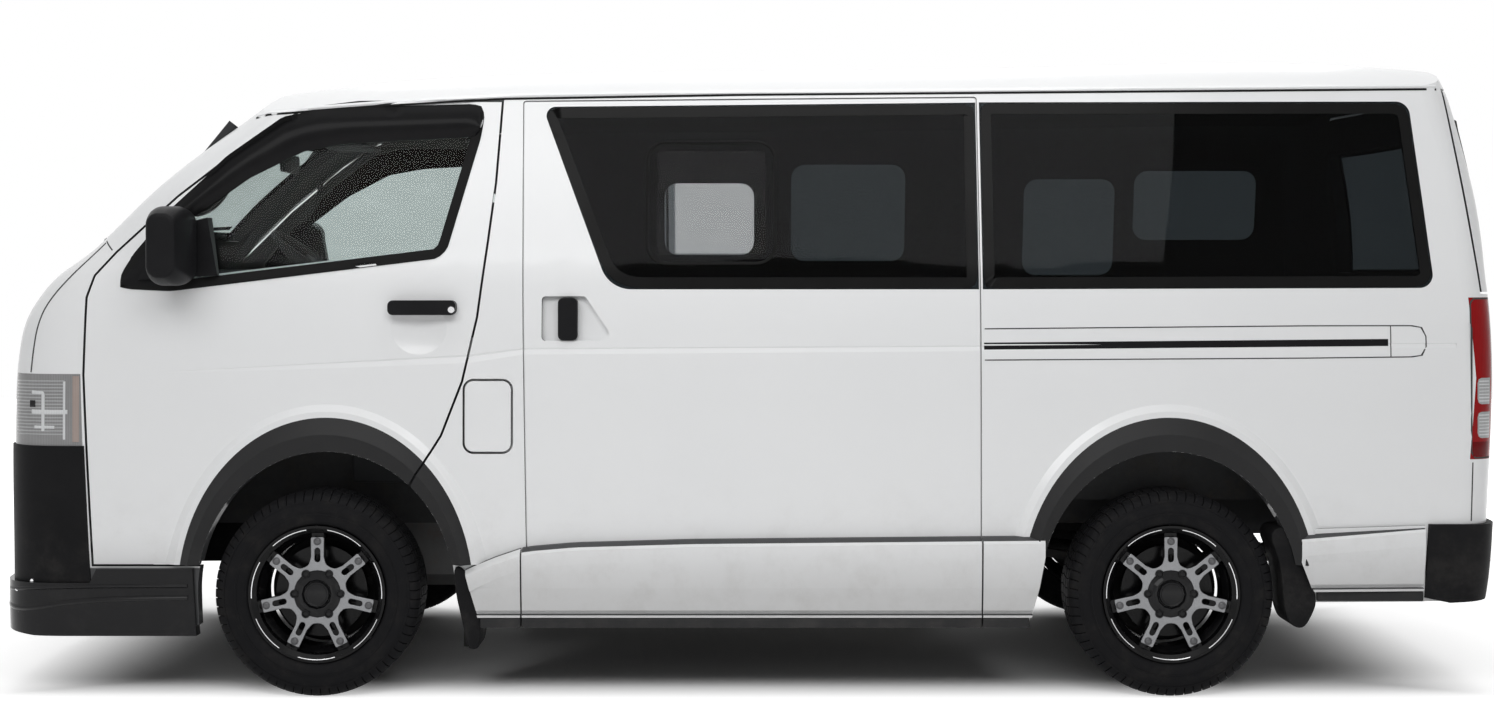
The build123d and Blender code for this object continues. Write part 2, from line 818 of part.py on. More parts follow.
with BuildPart() as mirror_head:
    with BuildSketch(Plane.XZ.offset(MIRROR_Y)):
        with Locations((MIRROR_X, MIRROR_Z)):
            RectangleRounded(MIRROR_DEPTH, MIRROR_HEIGHT - 20, 34)
    with BuildSketch(Plane.XZ.offset(MIRROR_Y + 0.55 * MIRROR_WIDTH)):
        with Locations((MIRROR_X, MIRROR_Z)):
            RectangleRounded(MIRROR_DEPTH, MIRROR_HEIGHT, 40)
    with BuildSketch(Plane.XZ.offset(MIRROR_Y + MIRROR_WIDTH)):
        with Locations((MIRROR_X, MIRROR_Z)):
            RectangleRounded(0.72 * MIRROR_DEPTH, MIRROR_HEIGHT - 50, 34)
    loft()
    fillet(mirror_head.edges().group_by(Axis.Y)[0], radius=14)

with BuildSketch(Plane.XZ) as mirror_base_outline:
    Polygon(
        (FRONT_AXLE - 540, up(0.135)),
        (FRONT_AXLE - 300, up(0.15)),
        (FRONT_AXLE - 330, up(0.36)),
        (FRONT_AXLE - 452, up(0.325)),
        align=None,
    )

with BuildPart() as front_left_mirror:
    add(mirror_head.part)
    with BuildSketch(Plane.XZ.offset(HALF_WIDTH - 60)):
        with Locations((MIRROR_X, MIRROR_Z - 30)):
            RectangleRounded(70, 90, 20)
    extrude(amount=MIRROR_Y - HALF_WIDTH + 75)
    extrude(mirror_base_outline.sketch, amount=HALF_WIDTH - 2)
    add(hull(GLASS_SET - FIT), mode=Mode.SUBTRACT)

HANDLE_X = FRONT_AXLE + 318
HANDLE_Z = 1160
with BuildPart() as front_left_handle:
    with BuildSketch(Plane.XZ.offset(HALF_WIDTH - 9)):
        with Locations((HANDLE_X, HANDLE_Z + 12)):
            RectangleRounded(204, 44, 16)
    extrude(amount=34)
    with BuildSketch(Plane.XZ.offset(HALF_WIDTH - 40)):
        with Locations((HANDLE_X - 10, HANDLE_Z - 2)):
            RectangleRounded(120, 34, 12)
    extrude(amount=52, mode=Mode.SUBTRACT)
    add(hull(-FIT), mode=Mode.SUBTRACT)

with BuildPart() as sliding_door_handles:
    with BuildSketch(Plane.XZ.offset(HALF_WIDTH - 31)):
        with Locations((B_PILLAR + 134, 1137)):
            RectangleRounded(58, 128, 16)
    extrude(amount=33)
    add(recess_floor, mode=Mode.SUBTRACT)
    mirror(about=Plane.XZ)

# ---- mudflaps ----

with BuildPart() as mudflaps:
    for place, bottom in ((FRONT_AXLE + 440, 142), (REAR_AXLE + 403, 200)):
        with Locations((place, -725, (bottom + FLOOR_BOTTOM - FIT) / 2)):
            Box(12, 130, FLOOR_BOTTOM - FIT - bottom)
    mirror(about=Plane.XZ)

# ---- wheels: seven-spoke alloy rim, brake disc and tyre ----

RIM_OUTER_Y = TYRE_OUTER_Y - 8
RIM_INNER_Y = TYRE_OUTER_Y - TYRE_WIDTH + 12
SPOKE_FACE_Y = TYRE_OUTER_Y - 22
SPOKE_THICK = 24
HUB_RADIUS = 62
CAP_RADIUS = 30
CAP_PROUD = 16
DISC_RADIUS = 138
DISC_THICK = 20
DISC_Y = TYRE_Y - 8
HUB_BACK_Y = TYRE_Y - 34
SPINDLE_END_Y = SPOKE_FACE_Y - 16
SLOT_LENGTH = 44
SLOT_WIDTH = 17
BOLT_RADIUS = 9
SHOULDER = 20


with BuildPart() as wheel_barrel:
    with BuildSketch(Plane.XZ) as barrel_section:
        with BuildLine():
            Polyline(
                (RIM_RADIUS, RIM_OUTER_Y),
                (RIM_RADIUS, RIM_OUTER_Y - 9),
                (RIM_RADIUS - 14, RIM_OUTER_Y - 14),
                (RIM_RADIUS - 16, RIM_OUTER_Y - 44),
                (RIM_RADIUS - 34, RIM_OUTER_Y - 58),
                (RIM_RADIUS - 34, RIM_INNER_Y + 50),
                (RIM_RADIUS - 16, RIM_INNER_Y + 32),
                (RIM_RADIUS - 14, RIM_INNER_Y + 12),
                (RIM_RADIUS, RIM_INNER_Y + 8),
                (RIM_RADIUS, RIM_INNER_Y),
                (RIM_RADIUS - RIM_WALL, RIM_INNER_Y),
                (RIM_RADIUS - 22, RIM_INNER_Y + 14),
                (RIM_RADIUS - 24, RIM_INNER_Y + 32),
                (RIM_RADIUS - 34 - RIM_WALL, RIM_INNER_Y + 50),
                (RIM_RADIUS - 34 - RIM_WALL, RIM_OUTER_Y - 58),
                (RIM_RADIUS - 24, RIM_OUTER_Y - 42),
                (RIM_RADIUS - 22, RIM_OUTER_Y - 14),
                (RIM_RADIUS - RIM_WALL, RIM_OUTER_Y),
                close=True,
            )
        make_face()
    revolve(axis=Axis.Z)

with BuildPart() as wheel_spokes:
    with BuildSketch(Plane.XY.offset(SPOKE_FACE_Y - SPOKE_THICK)):
        Circle(HUB_RADIUS)
        with PolarLocations(0, SPOKES, start_angle=90):
            with Locations(((RIM_RADIUS - 20) / 2, 0)):
                Rectangle(RIM_RADIUS - 20, SPOKE_WIDTH)
    extrude(amount=SPOKE_THICK)
    chamfer(wheel_spokes.edges().group_by(Axis.Z)[-1], length=3)
    with BuildSketch(Plane.XY.offset(SPOKE_FACE_Y)):
        with PolarLocations(HUB_RADIUS + 36, SPOKES, start_angle=90):
            SlotOverall(SLOT_LENGTH, SLOT_WIDTH)
    extrude(amount=-SPOKE_THICK, mode=Mode.SUBTRACT)
    with BuildSketch(Plane.XY.offset(SPOKE_FACE_Y)):
        with PolarLocations(RIM_RADIUS - 36, SPOKES, start_angle=90):
            Circle(BOLT_RADIUS)
        with PolarLocations(STUD_CIRCLE, STUDS):
            Circle(BOLT_RADIUS)
    extrude(amount=-8, mode=Mode.SUBTRACT)

with BuildPart() as wheel_blank:
    add(wheel_barrel.part)
    add(wheel_spokes.part)
    with BuildSketch(Plane.XY.offset(SPOKE_FACE_Y - 2)):
        Circle(CAP_RADIUS)
    extrude(amount=CAP_PROUD)
    with BuildSketch(Plane.XY.offset(HUB_BACK_Y)):
        Circle(HUB_RADIUS - 8)
    extrude(amount=SPOKE_FACE_Y - SPOKE_THICK - HUB_BACK_Y)
    with BuildSketch(Plane.XY.offset(DISC_Y)):
        Circle(DISC_RADIUS)
    extrude(amount=DISC_THICK)
    with BuildSketch(Plane.XY.offset(HUB_BACK_Y)):
        Circle(SPINDLE_RADIUS + RUNNING_FIT)
    extrude(amount=SPINDLE_END_Y + 2 - HUB_BACK_Y, mode=Mode.SUBTRACT)

with BuildPart() as tyre_blank:
    with BuildSketch(Plane.XZ):
        with BuildLine():
            Polyline(
                (RIM_RADIUS - 14 + FIT, RIM_OUTER_Y - 15),
                (RIM_RADIUS + FIT, RIM_OUTER_Y - 9 - FIT),
                (RIM_RADIUS + 8, RIM_OUTER_Y - 3),
                (RIM_RADIUS + 45, TYRE_OUTER_Y),
                (TYRE_RADIUS - 28, TYRE_OUTER_Y - 4),
                (TYRE_RADIUS - 6, TYRE_OUTER_Y - SHOULDER),
                (TYRE_RADIUS, TYRE_OUTER_Y - 1.7 * SHOULDER),
                (TYRE_RADIUS, TYRE_OUTER_Y - TYRE_WIDTH + 1.7 * SHOULDER),
                (TYRE_RADIUS - 6, TYRE_OUTER_Y - TYRE_WIDTH + SHOULDER),
                (TYRE_RADIUS - 28, TYRE_OUTER_Y - TYRE_WIDTH + 4),
                (RIM_RADIUS + 45, TYRE_OUTER_Y - TYRE_WIDTH),
                (RIM_RADIUS + 8, RIM_INNER_Y + 3),
                (RIM_RADIUS + FIT, RIM_INNER_Y + 8 + FIT),
                (RIM_RADIUS - 14 + FIT, RIM_INNER_Y + 13),
                close=True,
            )
        make_face()
    revolve(axis=Axis.Z)


def on_wheel(piece, axle):
    """A piece made about the Z axis, turned to stand on the left end of an axle."""
    with BuildPart() as placed:
        with Locations(Location((axle, 0, TYRE_RADIUS), (90, 0, 0))):
            add(piece)
    return placed.part


front_left_wheel = on_wheel(wheel_blank.part, FRONT_AXLE)
rear_left_wheel = on_wheel(wheel_blank.part, REAR_AXLE)
front_left_tyre = on_wheel(tyre_blank.part, FRONT_AXLE)
rear_left_tyre = on_wheel(tyre_blank.part, REAR_AXLE)

# ---- running gear ----

RAIL_BOTTOM = FLOOR_Z - FLOOR_THICK - RAIL_HEIGHT
KNUCKLE_HALF = 92
KNUCKLE_WIDTH = 54
LUG_THICK = 28
LUG_GAP = 1
BEAM_WIDTH = 90
BEAM_END_Y = KINGPIN_Y - 65
PIN_TOP = TYRE_RADIUS + KNUCKLE_HALF + LUG_GAP + LUG_THICK
PIN_BOTTOM = TYRE_RADIUS - KNUCKLE_HALF - LUG_GAP - LUG_THICK

with BuildPart() as front_left_knuckle:
    with Locations((FRONT_AXLE, -KINGPIN_Y, TYRE_RADIUS)):
        Box(KNUCKLE_WIDTH, KNUCKLE_WIDTH, 2 * KNUCKLE_HALF)
    chamfer(front_left_knuckle.edges().filter_by(Axis.Z), length=8)
    with BuildSketch(Plane.XZ.offset(KINGPIN_Y)):
        with Locations((FRONT_AXLE, TYRE_RADIUS)):
            Circle(SPINDLE_RADIUS)
    extrude(amount=SPINDLE_END_Y - KINGPIN_Y)
    with Locations((FRONT_AXLE + 80, -KINGPIN_Y, TYRE_RADIUS + 20)):
        Box(120, 30, 24)
    with Locations((FRONT_AXLE, -KINGPIN_Y, TYRE_RADIUS)):
        Cylinder(KINGPIN_RADIUS + RUNNING_FIT, 3 * KNUCKLE_HALF, mode=Mode.SUBTRACT)

with BuildPart() as front_crossmember:
    with Locations((FRONT_AXLE, 0, (RAIL_BOTTOM - FIT + 370) / 2)):
        Box(BEAM_WIDTH, 2 * BEAM_END_Y, RAIL_BOTTOM - FIT - 370)
    for height in (PIN_BOTTOM, PIN_TOP - LUG_THICK):
        with Locations((FRONT_AXLE, -(BEAM_END_Y + KINGPIN_Y + 12) / 2, height + LUG_THICK / 2)):
            Box(52, KINGPIN_Y - BEAM_END_Y + 36, LUG_THICK)
    with Locations((FRONT_AXLE, -BEAM_END_Y + 12, (PIN_BOTTOM + RAIL_BOTTOM - FIT) / 2)):
        Box(60, 24, RAIL_BOTTOM - FIT - PIN_BOTTOM)
    with Locations((FRONT_AXLE, -KINGPIN_Y, TYRE_RADIUS)):
        Cylinder(KINGPIN_RADIUS, PIN_TOP - PIN_BOTTOM)
    mirror(about=Plane.XZ)

LEAF_THICK = 26
LEAF_WIDTH = 60
LEAF_HALF = 620
AXLE_TUBE = 38
DIFF_RADIUS = 120
with BuildPart() as rear_axle:
    with BuildSketch(Plane.XZ.offset(SPINDLE_END_Y)):
        with Locations((REAR_AXLE, TYRE_RADIUS)):
            Circle(SPINDLE_RADIUS)
    extrude(amount=-SPINDLE_END_Y)
    with BuildSketch(Plane.XZ.offset(HUB_BACK_Y - 8)):
        with Locations((REAR_AXLE, TYRE_RADIUS)):
            Circle(AXLE_TUBE)
    extrude(amount=8 - HUB_BACK_Y)
    with Locations((REAR_AXLE, 0, TYRE_RADIUS)):
        Sphere(DIFF_RADIUS)
    with BuildSketch(Plane.XZ.offset(RAIL_Y - LEAF_WIDTH / 2)):
        with BuildLine():
            ThreePointArc(
                (REAR_AXLE - LEAF_HALF, RAIL_BOTTOM - 28),
                (REAR_AXLE, TYRE_RADIUS + AXLE_TUBE - 6),
                (REAR_AXLE + LEAF_HALF, RAIL_BOTTOM - 28),
            )
            Line(
                (REAR_AXLE + LEAF_HALF, RAIL_BOTTOM - 28),
                (REAR_AXLE + LEAF_HALF, RAIL_BOTTOM - 28 + LEAF_THICK),
            )
            ThreePointArc(
                (REAR_AXLE + LEAF_HALF, RAIL_BOTTOM - 28 + LEAF_THICK),
                (REAR_AXLE, TYRE_RADIUS + AXLE_TUBE - 6 + LEAF_THICK),
                (REAR_AXLE - LEAF_HALF, RAIL_BOTTOM - 28 + LEAF_THICK),
            )
            Line(
                (REAR_AXLE - LEAF_HALF, RAIL_BOTTOM - 28 + LEAF_THICK),
                (REAR_AXLE - LEAF_HALF, RAIL_BOTTOM - 28),
            )
        make_face()
    extrude(amount=LEAF_WIDTH)
    with Locations(
        (REAR_AXLE - LEAF_HALF + 20, -RAIL_Y, RAIL_BOTTOM - FIT - 20),
        (REAR_AXLE + LEAF_HALF - 20, -RAIL_Y, RAIL_BOTTOM - FIT - 20),
    ):
        Box(40, LEAF_WIDTH, 40)
    mirror(about=Plane.XZ)

ENGINE_REAR = FRONT_AXLE + 740
with BuildPart() as engine:
    with Locations(((FRONT_AXLE + 70 + ENGINE_REAR) / 2, 0, (250 + FLOOR_BOTTOM - FIT) / 2)):
        Box(ENGINE_REAR - FRONT_AXLE - 70, 600, FLOOR_BOTTOM - FIT - 250)
    chamfer(engine.edges().filter_by(Axis.X), length=40)

with BuildPart() as drive_shaft:
    with BuildLine():
        Line((ENGINE_REAR - 30, 0, 420), (REAR_AXLE - 40, 0, TYRE_RADIUS + 20))
    with BuildSketch(Plane(origin=(ENGINE_REAR - 30, 0, 420), z_dir=(1, 0, -0.0518))):
        Circle(30)
    sweep()
    with Locations((ENGINE_REAR + FIT, 0, 420)):
        Box(100, 120, 120, align=(Align.MAX, Align.CENTER, Align.CENTER), mode=Mode.SUBTRACT)
    with Locations((REAR_AXLE, 0, TYRE_RADIUS)):
        Sphere(DIFF_RADIUS + FIT, mode=Mode.SUBTRACT)

with BuildPart() as fuel_tank:
    with Locations((FRONT_AXLE + 1270, -220, (320 + FLOOR_BOTTOM - FIT) / 2)):
        Box(820, 330, FLOOR_BOTTOM - FIT - 320)
    fillet(fuel_tank.edges().filter_by(Axis.X), radius=40)

PIPE_RADIUS = 24
MUFFLER_RADIUS = 68
with BuildPart() as exhaust:
    with BuildLine():
        FilletPolyline(
            (ENGINE_REAR + 3, 200, 430),
            (REAR_AXLE + 250, 200, 430),
            (REAR_AXLE + 640, -300, 262),
            (TAIL - 20, -320, 250),
            radius=90,
        )
    with BuildSketch(Plane(origin=(ENGINE_REAR + 3, 200, 430), z_dir=(1, 0, 0))):
        Circle(PIPE_RADIUS)
    sweep()
    with BuildSketch(Plane.YZ.offset(FRONT_AXLE + 1500)):
        with Locations((200, 430)):
            Circle(MUFFLER_RADIUS)
    extrude(amount=520)
    with Locations((FRONT_AXLE + 1600, 200, 520), (FRONT_AXLE + 1900, 200, 520)):
        Cylinder(9, 2 * (FLOOR_BOTTOM - FIT - 520))

# ---- floor, wheel boxes and frame rails ----

floor_form = hull(WALL + FLOOR_EDGE + FIT)
with BuildPart() as floor_pan:
    add(floor_form)
    with BuildSketch(Plane.XY.offset(FLOOR_BOTTOM)):
        Rectangle(2 * (TAIL - 100), FAR * 1.2)
    extrude(amount=FLOOR_THICK, mode=Mode.INTERSECT)
    for place, inner_y in (
        (FRONT_AXLE + FRONT_ARCH_SHIFT, 470),
        (REAR_AXLE + REAR_ARCH_SHIFT, 600),
    ):
        reach = HALF_WIDTH - WALL - FLOOR_EDGE - 3 - inner_y
        middle = -(inner_y + reach / 2)
        with Locations((place, middle, (WHEEL_BOX_Z + FLOOR_BOTTOM) / 2)):
            Box(2 * WHEEL_BOX_HALF, reach, WHEEL_BOX_Z - FLOOR_BOTTOM)
        with Locations((place, middle - WHEEL_BOX_WALL, (WHEEL_BOX_Z + FLOOR_BOTTOM) / 2 - WHEEL_BOX_WALL)):
            Box(
                2 * (WHEEL_BOX_HALF - WHEEL_BOX_WALL),
                reach,
                WHEEL_BOX_Z - FLOOR_BOTTOM,
                mode=Mode.SUBTRACT,
            )
    with Locations((0, -RAIL_Y, RAIL_BOTTOM + RAIL_HEIGHT / 2)):
        Box(2 * (TAIL - 140), RAIL_WIDTH, RAIL_HEIGHT)
    with Locations((FIREWALL_X, -345, (FLOOR_BOTTOM + 1200) / 2)):
        Box(14, 690, 1200 - FLOOR_BOTTOM)
    # rests for the tailgate and the hood
    with Locations((TAIL - 61, 0, FLOOR_BOTTOM + 25)):
        Box(100, 60, 50, align=(Align.MAX, Align.MAX, Align.CENTER))
    with Locations((FIREWALL_X, 0, 1150)):
        Box(147.5, 24, 20, align=(Align.MAX, Align.MAX, Align.CENTER))
    mirror(about=Plane.XZ)
    with BuildSketch(Plane.XY.offset(FLOOR_Z)):
        with GridLocations(1100, 900, 2, 2):
            Circle(6.5)
    extrude(amount=-FLOOR_THICK, mode=Mode.SUBTRACT)

# ---- cab ----

SEAT_Y = 400
SEAT_WIDTH = 480
SEAT_X = FRONT_AXLE + 270
CUSHION_Z = 1010
with BuildPart() as front_seats:
    with Locations((SEAT_X, -318, (FLOOR_Z + FIT + 880) / 2)):
        Box(420, 290, 880 - FLOOR_Z - FIT)
    with Locations((SEAT_X, -SEAT_Y, 940)):
        Box(500, SEAT_WIDTH, 140)
    with BuildSketch(Plane.XZ.offset(SEAT_Y - SEAT_WIDTH / 2)):
        Polygon(
            (SEAT_X + 130, 960),
            (SEAT_X + 250, 960),
            (SEAT_X + 330, 1520),
            (SEAT_X + 230, 1520),
            align=None,
        )
    extrude(amount=SEAT_WIDTH)
    with Locations((SEAT_X + 285, -SEAT_Y, 1590)):
        Box(90, 260, 170)
    mirror(about=Plane.XZ)

with BuildSketch(Plane.XZ) as dashboard_cut:
    Polygon(
        (FRONT_AXLE - 1000, 900 - FIT),
        (FRONT_AXLE - 560 + FIT, 940 - FIT),
        (FRONT_AXLE - 430 + FIT, 1120 - FIT),
        (FRONT_AXLE - 430 + FIT, 1240 + FIT),
        (FRONT_AXLE - 480 + FIT, 1290 + FIT),
        (FRONT_AXLE - 1000, 1250 + FIT),
        align=None,
    )

with BuildPart() as dashboard:
    with BuildSketch(Plane.XZ.offset(-725)):
        Polygon(
            (FIREWALL_X + 7 + FIT, 900),
            (FRONT_AXLE - 560, 940),
            (FRONT_AXLE - 430, 1120),
            (FRONT_AXLE - 430, 1240),
            (FRONT_AXLE - 480, 1290),
            (FIREWALL_X + 82, 1284),
            (FIREWALL_X + 7 + FIT, 1184),
            align=None,
        )
    extrude(amount=1450)

STEERING_WHEEL_X = FRONT_AXLE - 266
STEERING_WHEEL_Z = 1300
STEERING_WHEEL_RADIUS = 185
with BuildPart() as wheel_on_column:
    Torus(STEERING_WHEEL_RADIUS, 14)
    Cylinder(52, 30)
    with PolarLocations(0, 3, start_angle=90):
        with Locations((STEERING_WHEEL_RADIUS / 2, 0, 0)):
            Box(STEERING_WHEEL_RADIUS, 30, 12)
    with Locations((0, 0, -130)):
        Cylinder(24, 240)

with BuildPart() as steering_wheel:
    with Locations(Location((STEERING_WHEEL_X, SEAT_Y, STEERING_WHEEL_Z), (0, 40, 0))):
        add(wheel_on_column.part)
    extrude(dashboard_cut.sketch, amount=-FAR, mode=Mode.SUBTRACT)


# ---- export ----

PIECES = {
    "body_shell": body_shell.part,
    "floor_pan": floor_pan.part,
    "windscreen": windscreen.part,
    "side_glass": side_glass.part,
    "left_sliding_door": left_sliding_door.part,
    "right_sliding_door": flipped(left_sliding_door.part),
    "sliding_door_handles": sliding_door_handles.part,
    "front_bumper": front_bumper.part,
    "front_lip": front_lip.part,
    "rear_bumper": rear_bumper.part,
    "grille": grille.part,
    "headlights": headlights.part,
    "tail_lights": tail_lights.part,
    "arch_flares": arch_flares.part,
    "mudflaps": mudflaps.part,
    "front_left_door": front_left_door.part,
    "front_left_glass": front_left_glass.part,
    "front_left_mirror": front_left_mirror.part,
    "front_left_handle": front_left_handle.part,
    "front_left_flare": front_left_flare.part,
    "front_right_door": flipped(front_left_door.part),
    "front_right_glass": flipped(front_left_glass.part),
    "front_right_mirror": flipped(front_left_mirror.part),
    "front_right_handle": flipped(front_left_handle.part),
    "front_right_flare": flipped(front_left_flare.part),
    "tailgate": tailgate.part,
    "tailgate_glass": tailgate_glass.part,
    "hood": hood.part,
    "fuel_flap": fuel_flap.part,
    "front_crossmember": front_crossmember.part,
    "front_left_knuckle": front_left_knuckle.part,
    "front_right_knuckle": flipped(front_left_knuckle.part),
    "rear_axle": rear_axle.part,
    "engine": engine.part,
    "drive_shaft": drive_shaft.part,
    "fuel_tank": fuel_tank.part,
    "exhaust": exhaust.part,
    "front_seats": front_seats.part,
    "dashboard": dashboard.part,
    "steering_wheel": steering_wheel.part,
    "front_left_wheel": front_left_wheel,
    "front_left_tyre": front_left_tyre,
    "front_right_wheel": flipped(front_left_wheel),
    "front_right_tyre": flipped(front_left_tyre),
    "rear_left_wheel": rear_left_wheel,
    "rear_left_tyre": rear_left_tyre,
    "rear_right_wheel": flipped(rear_left_wheel),
    "rear_right_tyre": flipped(rear_left_tyre),
}

os.makedirs("parts", exist_ok=True)
for name, piece in PIECES.items():
    piece.label = name
    export_step(piece, f"parts/{name}.step")
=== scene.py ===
"""Panel van: materials, trim, glazing, wheels and cab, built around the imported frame."""
import bpy
import bmesh
import math
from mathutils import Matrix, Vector
from mathutils.bvhtree import BVHTree


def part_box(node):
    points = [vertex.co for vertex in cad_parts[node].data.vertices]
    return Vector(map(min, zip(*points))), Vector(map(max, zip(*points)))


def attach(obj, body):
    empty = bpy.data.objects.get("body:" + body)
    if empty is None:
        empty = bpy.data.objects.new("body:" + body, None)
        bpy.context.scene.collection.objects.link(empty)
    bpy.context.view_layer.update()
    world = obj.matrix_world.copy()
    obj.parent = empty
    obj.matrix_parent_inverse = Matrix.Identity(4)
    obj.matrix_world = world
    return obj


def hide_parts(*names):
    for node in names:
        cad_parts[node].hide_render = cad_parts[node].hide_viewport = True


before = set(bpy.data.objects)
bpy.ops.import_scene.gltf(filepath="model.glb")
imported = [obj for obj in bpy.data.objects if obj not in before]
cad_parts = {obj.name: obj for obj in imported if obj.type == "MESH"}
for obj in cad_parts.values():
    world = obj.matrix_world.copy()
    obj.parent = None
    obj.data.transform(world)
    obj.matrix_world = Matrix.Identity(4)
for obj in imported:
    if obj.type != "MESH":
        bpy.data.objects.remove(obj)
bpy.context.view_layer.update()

# ---- sizes, in metres ----
FRONT_AXLE = -1.285
REAR_AXLE = 1.285
TYRE_RADIUS = 0.310
TYRE_OUTER_Y = 0.860
TYRE_WIDTH = 0.195
SIDES = (("left", -1), ("right", 1))
GLASS_IOR = 1.12
PRIVACY_TINT = (0.115, 0.130, 0.138)
PRIVACY_STREAK = (0.135, 0.150, 0.158)
SLIDER_X = -0.100
SLIDER_Z = 1.4915
SLIDER_HALF_X = 0.169
SLIDER_HALF_Z = 0.161
SPOKE_FACE_Y = 0.838
SPOKES = 7
SPOKE_START = 90.0
ARM_HALF = 0.0190
BOLT_CIRCLE = 0.158
STUDS = 6
STUD_CIRCLE = 0.069
HUB_HOLE = 0.0705
SLOT_ENDS = (0.095, 0.139)
SLOT_HALF = 0.0088
STAR_THICK = 0.006
RIM_MARK_OUT = 0.0135
SHIELD_Y = 0.700
BOLT_PROFILE = [
    (0.0, 0.0058), (0.0065, 0.0058), (0.0082, 0.0050), (0.0092, 0.0036), (0.0104, 0.0034), (0.0120, 0.0040),
    (0.0122, 0.0), (0.0, 0.0),
]
NUT_PROFILE = [
    (0.0, 0.0065), (0.0070, 0.0065), (0.0085, 0.0055), (0.0098, 0.0090), (0.0118, 0.0090), (0.0132, 0.0060),
    (0.0134, 0.0), (0.0, 0.0),
]
COLLAR_PROFILE = [
    (0.0, 0.006), (0.041, 0.006), (0.045, 0.0130), (0.050, 0.0125), (0.060, 0.0060), (0.0715, 0.0035),
    (0.0715, 0.0), (0.0, 0.0),
]
SCREW_PROFILE = [(0.0, 0.0025), (0.004, 0.0025), (0.006, 0.0008), (0.006, -0.002), (0.0, -0.002)]
CAP_PROFILE = [
    (0.0, 0.0175), (0.026, 0.0170), (0.031, 0.0158), (0.033, 0.0178), (0.036, 0.0172), (0.0385, 0.0120),
    (0.0390, 0.0), (0.0, 0.0),
]
RIM_MARK_PROFILE = [(0.1950, 0.0008), (0.1972, 0.0016), (0.1972, 0.0), (0.1950, 0.0)]
SHIELD_PROFILE = [
    (0.060, 0.001), (0.158, 0.001), (0.161, 0.004), (0.163, 0.004), (0.161, -0.001), (0.060, -0.001),
]
SEAT_Y = 0.400
SEAT_WIDTH = 0.480
CUSHION_TOP = 1.010
LINING_Y = 0.784
LINING_LEAN = 0.192
LINING_BELT = 1.21
LINING_THICK = 0.004
WHITE = (1.0, 1.0, 1.0)
WORLD_LEVEL = 0.30
FLOOR_HALF = 14.0
# glow of the floor outside the van-shaped painted shadow, and where that painted shadow fades out
FLOOR_LIFT = 0.60
SHADOW_EDGE_Y = (0.48, 0.86)
SHADOW_EDGE_X = (1.70, 2.35)
FAR_EDGE_Y = (1.5, 5.0)
FAR_EDGE_X = (3.0, 6.0)
LAMPS = (
    ("overhead", (0.0, -0.6, 4.6), (6.0, 3.6), 78.0, (0.0, 0.0, 0.0)),
    ("near_side", (-0.6, -6.0, 4.6), (6.5, 2.2), 176.0, (0.0, 0.0, 1.2)),
    ("far_side", (0.6, 6.0, 4.6), (6.5, 2.2), 110.0, (0.0, 0.0, 1.2)),
)
CAMERA_PLACE = (0.0085, -7.0, 1.27)
CAMERA_LENS = 49.3
CAMERA_SHIFT = -0.0542


# ---- building materials from nodes ----


def feed(tree, socket, value):
    """Links an output to a socket, or sets a plain value on it."""
    if isinstance(value, bpy.types.NodeSocket):
        tree.links.new(value, socket)
    elif socket.type == "RGBA" and len(value) == 3:
        socket.default_value = (*value, 1.0)
    else:
        socket.default_value = value


def add_node(tree, kind, inputs, **settings):
    """Adds a node with its settings and inputs filled in, and gives its outputs."""
    node = tree.nodes.new("ShaderNode" + kind)
    for key, value in settings.items():
        setattr(node, key, value)
    for key, value in inputs.items():
        feed(tree, node.inputs[key], value)
    return node.outputs


